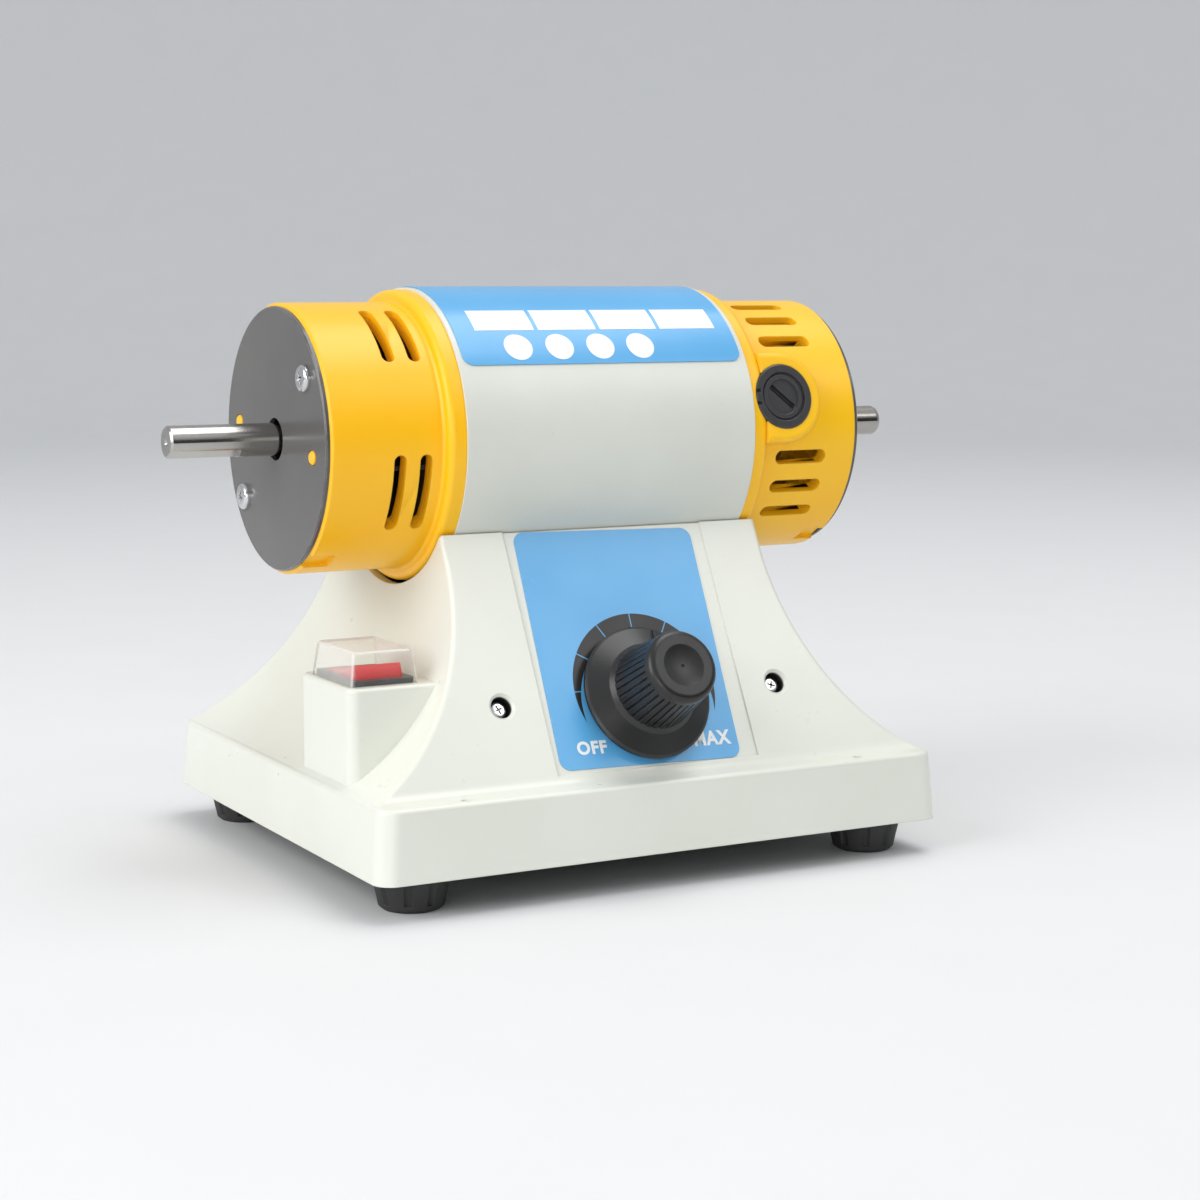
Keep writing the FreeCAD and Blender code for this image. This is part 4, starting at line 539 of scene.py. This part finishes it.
FINISHES["shaft_steel"] = finish(
    "ground_steel", paint(186, 184, 180), paint(168, 165, 160), 0.21, 0.0006, 0.000004, edge=0.0002,
    edge_wear_and_highlight=paint(214, 213, 210), metallic=1.0, relief=turned_rings)
FINISHES["bearing_steel"] = finish(
    "bearing_steel", paint(186, 187, 190), paint(176, 177, 181), 0.2, 0.0006, 0.000004, edge=0.0002,
    metallic=1.0, relief=turned_rings)
FINISHES["fastener"] = finish(
    "plated_screw", paint(222, 223, 224), paint(206, 207, 209), 0.13, 0.0005, 0.00001, edge=0.0002,
    edge_wear_and_highlight=paint(235, 236, 238), metallic=1.0)
FINISHES["bracket_steel"] = finish(
    "zinc_sheet", paint(184, 186, 188), paint(170, 172, 176), 0.4, 0.0030, 0.00001, metallic=1.0,
    edge_wear_and_highlight=paint(215, 216, 218))
FINISHES["spring_steel"] = finish(
    "spring_wire", paint(168, 168, 170), paint(150, 150, 154), 0.3, 0.0006, 0.000005, edge=0.0001,
    metallic=1.0)

# %% [markdown]
# ## Label film
# Both labels are a printed plastic film in a clear sky blue. The print is even, so the film's own
# faint ripple does the work: a wide and shallow relief under a glossy surface.

# %% Labels and print
def film_ripple(place):
    """The film isn't quite flat on what it sticks to."""
    return noise(place, 0.009, 1.0), 0.00006


FINISHES["label_sheet"] = finish(
    "label_blue", paint(93, 172, 226), paint(87, 167, 221), 0.24, 0.0010, 0.000006, edge=0.0001,
    edge_wear_and_highlight=paint(186, 214, 238), relief=film_ripple)
PRINT_WHITE = finish("print_white", paint(240, 242, 242), paint(235, 238, 239), 0.35, 0.0008, 0.000006,
                     edge=0.00005, relief=film_ripple)
PRINT_BLACK = finish("print_black", paint(40, 38, 38), paint(35, 33, 33), 0.34, 0.0008, 0.000006,
                     edge=0.00005, relief=film_ripple)

# %% [markdown]
# ## Black plastic and rubber
# The knob, the switch body and the brush holders are black mouldings with different skins: the knob
# is satin and shows fingermarks as patches of gloss, the switch is finer, and the feet are dull.

# %% Black mouldings
FINISHES["knob_plastic"] = finish(
    "knob_black", paint(33, 33, 34), paint(27, 27, 28), 0.33, 0.0006, 0.000015, edge=0.0004,
    edge_wear_and_highlight=paint(84, 85, 89), rub_gloss=0.08, specks=(0.0008, paint(130, 130, 132), 0.15))
FINISHES["black_plastic"] = finish(
    "moulding_black", paint(54, 54, 56), paint(47, 47, 49), 0.36, 0.0005, 0.000012, edge=0.0003,
    edge_wear_and_highlight=paint(110, 110, 112), rub_gloss=0.06)
FINISHES["foot_rubber"] = finish(
    "foot_rubber", paint(42, 42, 43), paint(50, 50, 50), 0.62, 0.0007, 0.00004, edge=0.0004,
    edge_wear_and_highlight=paint(78, 78, 78))
FINISHES["fan_plastic"] = finish(
    "fan_moulding", paint(48, 48, 50), paint(42, 42, 44), 0.5, 0.0006, 0.00002, edge_wear_and_highlight=paint(80, 80, 82))
FINISHES["rocker_red"] = finish(
    "rocker_red", paint(226, 38, 36), paint(214, 30, 30), 0.26, 0.0006, 0.000008, edge=0.0004,
    edge_wear_and_highlight=paint(240, 96, 88), coat=0.2)

# %% [markdown]
# ## Inside the motor and the base
# Little of the inside shows, through the cooling slots and from below, but what shows is finished
# too. The laminated steel has lines across the spindle, a hair apart. The windings are bundles of
# enamelled wire, so their relief runs along the bundle.

# %% Laminated steel and copper
def laminations(place):
    """The edges of the stamped sheets, half a millimetre each."""
    wave = place.node("ShaderNodeTexWave", {"bands_direction": "X"}, {"Vector": place, "Scale": 320.0})
    return wave, 0.00003


def wires(place):
    """Round wires lying side by side."""
    wave = place.node("ShaderNodeTexWave", {"bands_direction": "Y"},
                      {"Vector": place, "Scale": 260.0, "Distortion": 2.0, "Detail": 1.0})
    return wave, 0.0002


FINISHES["lamination"] = finish(
    "laminated_steel", paint(120, 120, 124), paint(104, 102, 102), 0.42, 0.0007, 0.00001, metallic=0.9,
    relief=laminations, edge_wear_and_highlight=paint(150, 150, 152))
FINISHES["copper"] = finish(
    "enamelled_copper", paint(190, 104, 52), paint(172, 88, 42), 0.3, 0.0006, 0.00001, metallic=0.85,
    relief=wires, edge_wear_and_highlight=paint(214, 140, 86), coat=0.4)
FINISHES["carbon"] = finish(
    "brush_carbon", paint(48, 48, 50), paint(40, 40, 42), 0.55, 0.0004, 0.00003, edge_wear_and_highlight=paint(86, 86, 90))

# %% Electronics
def glass_weave(place):
    """The woven glass that shows through a circuit board."""
    along = place.node("ShaderNodeTexWave", {"bands_direction": "X"}, {"Vector": place, "Scale": 350.0})
    across = place.node("ShaderNodeTexWave", {"bands_direction": "Y"}, {"Vector": place, "Scale": 350.0})
    return along * across, 0.00001


FINISHES["board_laminate"] = finish(
    "board_green", paint(30, 104, 58), paint(24, 90, 50), 0.3, 0.0008, 0.000008, relief=glass_weave,
    edge_wear_and_highlight=paint(160, 170, 120), coat=0.3)
FINISHES["component_case"] = finish(
    "component_case", paint(96, 98, 108), paint(86, 88, 98), 0.4, 0.0006, 0.00001,
    edge_wear_and_highlight=paint(120, 122, 130))
FINISHES["heatsink_metal"] = finish(
    "heatsink_aluminium", paint(190, 191, 194), paint(176, 178, 182), 0.36, 0.0006, 0.00001,
    metallic=1.0, stretch=(1.0, 1.0, 0.05), edge_wear_and_highlight=paint(220, 221, 222))
FINISHES["terminal_green"] = finish(
    "terminal_green", paint(60, 150, 92), paint(50, 138, 82), 0.38, 0.0006, 0.00001,
    edge_wear_and_highlight=paint(110, 186, 130))
FINISHES["terminal_brass"] = finish(
    "terminal_brass", paint(206, 180, 104), paint(190, 162, 90), 0.3, 0.0005, 0.00001, metallic=1.0,
    edge_wear_and_highlight=paint(230, 210, 140))

# %% [markdown]
# ## The clear cover
# A clear moulded hood keeps dust off the rocker. Real glass with bent light would darken what is
# under it, because light isn't traced through it well, so the hood is a mix: mostly a plain
# transparent shader, and a glossy pale one that takes over at a glancing angle and along the edges.
# A clear moulding looks white where two walls meet, because light is caught in the thick corner,
# and here the pale shader paints that highlight along them. A point lies near such an edge if its
# second smallest distance to a wall is small.

# %% Where the cover's edges are
HOOD_LOW, HOOD_HIGH = (Vector(corner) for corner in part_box("switch_cover"))
HOOD_TAPER = 0.0012
EDGE_FROM, EDGE_TO = 0.0003, 0.0014
print("cover", [round(v, 4) for v in HOOD_HIGH - HOOD_LOW])


def painted_edge_highlight(place):
    """1 along the edges where two walls of the hood meet, where the highlight is painted, 0 elsewhere.
    """
    middle = (HOOD_LOW + HOOD_HIGH) / 2
    half = (HOOD_HIGH - HOOD_LOW) / 2
    away = place.vector("SUBTRACT", place, middle)
    spread = away.vector("ABSOLUTE", away)
    parts = [spread.node("ShaderNodeSeparateXYZ", {}, {0: spread}, axis) for axis in range(2)]
    height = away.node("ShaderNodeSeparateXYZ", {}, {0: away}, 2)
    lean = HOOD_TAPER * (0.5 + 0.5 / half.z * height)
    side, front = half.x - parts[0] - lean, half.y - parts[1] - lean
    top = half.z - height
    lower, upper = side.math("MINIMUM", side, front), side.math("MAXIMUM", side, front)
    second = lower.math("MAXIMUM", lower, lower.math("MINIMUM", upper, top))
    return 1 - contrast(second, EDGE_FROM, EDGE_TO)


# %% Clear cover
cover = bpy.data.materials.new("clear_hood")
cover.use_nodes = True
cover_tree = cover.node_tree
gloss = cover_tree.nodes["Principled BSDF"]
gloss.inputs["Base Color"].default_value = (0.95, 0.95, 0.94, 1)
gloss.inputs["Roughness"].default_value = 0.05
place = Link(cover_tree, cover_tree.nodes.new("ShaderNodeTexCoord").outputs["Object"])
rounded = place.node("ShaderNodeBevel", {"samples": 4}, {"Radius": 0.0008})
glancing = place.node("ShaderNodeFresnel", {}, {"IOR": 1.45})
haze = 0.01 + 0.03 * noise(place, 0.008, 3.0)
# The edge term paints a white highlight along the hood's corners.
share = haze + 0.35 * glancing + 0.4 * painted_edge_highlight(place)
wavy = noise(place, 0.006, 1.0)
bumped(rounded, wavy, 0.0001).into(gloss, "Normal")
clear = cover_tree.nodes.new("ShaderNodeBsdfTransparent")
clear.inputs["Color"].default_value = (0.98, 0.98, 0.975, 1)
mix = cover_tree.nodes.new("ShaderNodeMixShader")
share.into(mix, "Fac")
cover_tree.links.new(clear.outputs[0], mix.inputs[1])
cover_tree.links.new(gloss.outputs[0], mix.inputs[2])
Link(cover_tree, mix.outputs[0]).into(cover_tree.nodes["Material Output"], "Surface")
FINISHES["clear_cover"] = cover

# %% Floor finish
cove.data.materials.append(
    finish("floor_paper", paint(226, 227, 228), paint(225, 226, 227), 0.7, 0.002, 0.00002))
card.data.materials.append(
    finish("card_felt", paint(22, 22, 22), paint(18, 18, 18), 0.9, 0.002, 0.0002))
print("materials", len(bpy.data.materials))

# %% [markdown]
# ## Finishes onto the CAD nodes
# The record says which material slot each node has, so the finish follows from the slot.

# %% Assign the finishes
for part in frame["record"]["subparts"]:
    node = frame["nodes"][part["node"]]
    if not node.material_slots:
        node.data.materials.append(None)
    for material_slot in node.material_slots:
        material_slot.material = FINISHES[part["material_slot"]]

# %% [markdown]
# ## Collars behind the cooling slots
# The wall of each yellow cap is thicker round its cooling slots, so from the side a slot shows more
# yellow wall than dark inside. These collars continue the walls of the slots inwards. A merged copy
# of the cap keeps only the slot walls, their inner rims are extruded towards the spindle by scaling
# about it, and the new bands get their thickness on the side away from the opening.

# %% Where the slots are
CAP_INSIDE, CAP_OUTSIDE = 0.0385, 0.041
JUST = 0.0001
BRUSH_ANGLE = 16


def spindle_radius(point):
    """How far a point is from the spindle's line."""
    return math.hypot(point.y - SPINDLE.y, point.z - SPINDLE.z)


def off_brush(point):
    """How many degrees a point on the drum lies from the nearer of the two brush axes."""
    angle = math.degrees(math.atan2(point.z - SPINDLE.z, -point.y)) - BRUSH_ANGLE
    return abs((angle + 90) % 180 - 90)


SLOT_ZONES = {
    "left_end_cap": lambda point: 0.058 < -point.x < 0.073,
    "right_end_cap": lambda point: 0.060 < point.x < 0.0812 and off_brush(point) > 18,
}

# %% Slot collars
COLLAR_INSIDE = 0.0361
COLLAR_WALL = 0.0011


def slot_wall(point):
    """Whether a point on a cap's mesh lies between its two skins, where only slots have faces."""
    return CAP_INSIDE + JUST < spindle_radius(point) < CAP_OUTSIDE - JUST


for node, in_zone in SLOT_ZONES.items():
    collars = bpy.data.objects.new("collars", frame["nodes"][node].data.copy())
    bpy.context.scene.collection.objects.link(collars)
    collars.data.materials.clear()
    only(collars)
    bpy.ops.object.mode_set(mode="EDIT")
    bpy.ops.mesh.select_all(action="SELECT")
    bpy.ops.mesh.remove_doubles(threshold=1e-6)
    bpy.ops.object.mode_set(mode="OBJECT")
    pick(collars, "FACE", lambda middle: not (in_zone(middle) and slot_wall(middle)))
    bpy.ops.mesh.delete(type="FACE")
    bpy.ops.object.mode_set(mode="OBJECT")
    pick(collars, "EDGE", lambda middle: spindle_radius(middle) < CAP_INSIDE + JUST)
    bpy.ops.mesh.extrude_region_move()
    inwards = COLLAR_INSIDE / CAP_INSIDE
    bpy.ops.transform.resize(value=(1, inwards, inwards), center_override=SPINDLE)
    bpy.ops.object.mode_set(mode="OBJECT")
    pick(collars, "FACE", lambda middle: spindle_radius(middle) > CAP_INSIDE + JUST)
    bpy.ops.mesh.delete(type="FACE")
    bpy.ops.object.mode_set(mode="OBJECT")
    thick = collars.modifiers.new("thickness", "SOLIDIFY")
    thick.thickness = COLLAR_WALL
    only(collars)
    bpy.ops.object.modifier_apply(modifier=thick.name)
    collars = settled(collars, node.replace("end_cap", "slot_collars"))
    collars.data.materials.append(FINISHES["cap_paint"])
    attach(collars, "base")
    print(collars.name, len(collars.data.polygons), "faces")

# %% [markdown]
# ## A cross-head screw
# A pan head is a short cylinder whose upper rim is rounded over with a bevel. The recess is cut by
# two crossed wedges, narrower towards their tip, and a small square between them where the four
# slots meet. One screw is modelled, pointing up from its head's top face, and then copied.

# %% Cross recess
def wedge(length, width, depth):
    """A block whose lower end is narrower, standing through the plane z = 0."""
    tool = block(length, width, 2 * depth)
    pick(tool, "FACE", lambda middle: middle.z < -0.9 * depth)
    bpy.ops.transform.resize(value=(0.45, 0.6, 1))
    bpy.ops.object.mode_set(mode="OBJECT")
    return tool


def cross_head_screw(name, radius, height, shank, length):
    """A screw with its head's top face on z = 0 and its shank below."""
    head = cylinder(radius, -height, 0, 48)
    pick(head, "EDGE", lambda middle: middle.z > -1e-6 and middle.length > 0.9 * radius)
    bpy.ops.mesh.bevel(offset=0.62 * height, segments=6, affect="EDGES")
    bpy.ops.object.mode_set(mode="OBJECT")
    pick(head, "FACE", lambda middle: middle.z < 1e-6 - height)
    bpy.ops.mesh.inset(thickness=radius - shank)
    bpy.ops.mesh.extrude_region_move(TRANSFORM_OT_translate={"value": (0, 0, height - length)})
    bpy.ops.mesh.bevel(offset=0.25 * shank, segments=2, affect="EDGES")
    bpy.ops.object.mode_set(mode="OBJECT")
    first = wedge(1.15 * radius, 0.2 * radius, 0.8 * height)
    second = wedge(0.2 * radius, 1.15 * radius, 0.8 * height)
    core = wedge(0.36 * radius, 0.36 * radius, 0.7 * height)
    core.data.transform(Matrix.Rotation(math.radians(45), 4, "Z"))
    boolean(head, "DIFFERENCE", first, second, core)
    head.name = name
    return head


# %% [markdown]
# ## Three sets of screws
# Two screws hold each end plate, two on each slope hold the motor's saddle at the bottom of their
# holes, and one goes up through each foot. Each turns a little differently, as screws do.

# %% Screw sets
HEAD_RADIUS = {"end_plate_screws": 0.0041, "bracket_screws": 0.00305, "foot_screws": 0.0041}
SHANK_RADIUS = 0.0019
SCREW_TURNS = (22, 71, 40, 58)
for node, places in SCREW_PLACES.items():
    copies = []
    master = cross_head_screw("screw", HEAD_RADIUS[node], HEAD_HEIGHT, SHANK_RADIUS, places[0][1])
    for (place, length), turn in zip(places, SCREW_TURNS):
        copy = bpy.data.objects.new("screw_copy", master.data.copy())
        bpy.context.scene.collection.objects.link(copy)
        copy.data.transform(place @ Matrix.Rotation(math.radians(turn), 4, "Z"))
        copies.append(copy)
    bpy.data.objects.remove(master)
    only(*copies)
    bpy.ops.object.join()
    piece = settled(bpy.context.object, node + "_cross_head")
    piece.data.materials.append(FINISHES["fastener"])
    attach(piece, "base")
    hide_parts(node)
    print(piece.name, len(copies), "screws", len(piece.data.polygons), "faces")

# %% [markdown]
# ## The dial on the front label
# A black crescent round the knob, thick at the top and running out to a point at each lower side,
# shows how far the speed is turned up. Thin gaps across it, thirty degrees apart, show the film's
# blue. It is cut from a thin disc: first by a smaller disc set lower, then by the narrow gaps.

# %% The dial's frame
PANEL = Matrix.Translation((0, -0.062343037, 0.054618497)) @ Matrix(
    ((1, 0, 0), (0, 0.469171, -0.883109), (0, 0.883109, 0.469171))).to_4x4()
FILM_TOP = 0.0003
INK = 0.00004

# %% Crescent
RING = Vector((0.00121, 0.00240, 0))
RING_RADIUS, HOLLOW_RADIUS, HOLLOW_DROP = 0.02402, 0.02258, 0.00518
RING_CORNERS = 192
GAP_WIDTH = 0.00036

crescent = cylinder(RING_RADIUS, FILM_TOP - INK / 2, FILM_TOP + INK, RING_CORNERS, RING.x, RING.y)
hollow = cylinder(HOLLOW_RADIUS, 0, 0.002, RING_CORNERS, RING.x, RING.y - HOLLOW_DROP)
gaps = []
for number in range(7):
    clockwise = 30 * number - 88.5
    turn = Matrix.Translation(RING) @ Matrix.Rotation(math.radians(-clockwise), 4, "Z")
    gaps.append(block(GAP_WIDTH, 0.012, 0.002, turn @ Matrix.Translation((0, 0.02, 0))))
boolean(crescent, "DIFFERENCE", hollow, *gaps)
crescent = settled(crescent, "dial_crescent", PANEL)
crescent.data.materials.append(PRINT_BLACK)
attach(crescent, "base")
print("crescent", len(crescent.data.polygons), "faces")

# %% [markdown]
# ## OFF and MAX
# The two ends of the knob's travel are named in bold white capitals. A text object is given a little
# thickness and a heavier stroke, turned into a mesh, and then fitted to the width and height that
# the word has on the label.

# %% Words
WORD_TILT = math.radians(-1.34)


def printed_word(word, left, right, low, high, name):
    """A word that fills a box on the panel, as a thin solid."""
    bpy.ops.object.select_all(action="DESELECT")
    bpy.ops.object.text_add()
    text = bpy.context.object
    text.data.body = word
    text.data.offset = 0.04
    text.data.space_character = 1.12
    text.data.extrude = 0.5
    text.data.resolution_u = 6
    bpy.ops.object.convert(target="MESH")
    mesh = bpy.context.object
    corners = [Vector(corner) for corner in mesh.bound_box]
    first, last = corners[0], corners[6]
    size = last - first
    scale = ((right - left) / size.x, (high - low) / size.y, 1.5 * INK / size.z, 1)
    fit = (Matrix.Translation((left, low, FILM_TOP - INK / 2))
           @ Matrix.Diagonal(scale) @ Matrix.Translation(-first))
    mesh = settled(mesh, name, PANEL @ Matrix.Rotation(WORD_TILT, 4, "Z") @ fit)
    mesh.data.materials.append(PRINT_WHITE)
    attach(mesh, "base")
    return mesh


for word, left, right, low, high in (("OFF", -0.0260, -0.0160, -0.0172, -0.0130),
                                     ("MAX", 0.0140, 0.0269, -0.0172, -0.0126)):
    printed = printed_word(word, left, right, low, high, "print_" + word.lower())
    print(word, len(printed.data.polygons), "faces")

# %% [markdown]
# ## Blank fields on the motor's label
# The label over the tube has a row of four white fields and a row of four white spots. Nothing is
# written in them here. They are cut out of a thin round skin over the film by blocks and pins that
# point at the spindle, so each one bends with the tube.

# %% Fields and spots
SKIN = 0.04587
FIELD_LENGTH, FIELD_WIDTH, FIELD_ANGLE = 0.0200, 0.0093, 51.6
SPOT_RADIUS, SPOT_ANGLE = 0.0047, 37.7
CUTTER_DEPTH = 0.01


def pointing(shape, x, degrees):
    """Stand a cutter on the spindle's line, pointing out at an angle above the front."""
    return bake_place(shape, Matrix.Translation(SPINDLE + Vector((x, 0, 0)))
                      @ Matrix.Rotation(math.radians(90 - degrees), 4, "X")
                      @ Matrix.Translation((0, 0, SKIN)))


cutters = []
for x in (-0.0312, -0.0098, 0.0116, 0.0329):
    field = block(FIELD_LENGTH, FIELD_WIDTH, CUTTER_DEPTH)
    cutters.append(pointing(field, x, FIELD_ANGLE))
for x in (-0.0288, -0.0147, -0.0006, 0.0134):
    spot = cylinder(SPOT_RADIUS, -CUTTER_DEPTH / 2, CUTTER_DEPTH / 2, 64)
    cutters.append(pointing(spot, x, SPOT_ANGLE))
only(*cutters)
bpy.ops.object.join()
stencil = bpy.context.object

# %% Skin over the film
SKIN_CORNERS = 720


def along_spindle(radius, length):
    """A cylinder round the spindle's line."""
    lying = Matrix.Rotation(math.radians(90), 4, "Y")
    return bake_place(cylinder(radius, -length / 2, length / 2, SKIN_CORNERS),
                      Matrix.Translation(SPINDLE) @ lying)


skin = along_spindle(SKIN + INK, 0.09)
core = along_spindle(SKIN, 0.1)
boolean(skin, "INTERSECT", stencil)
boolean(skin, "DIFFERENCE", core)
fields = settled(skin, "motor_label_fields")
fields.data.materials.append(PRINT_WHITE)
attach(fields, "base")
print("fields", len(fields.data.polygons), "faces")
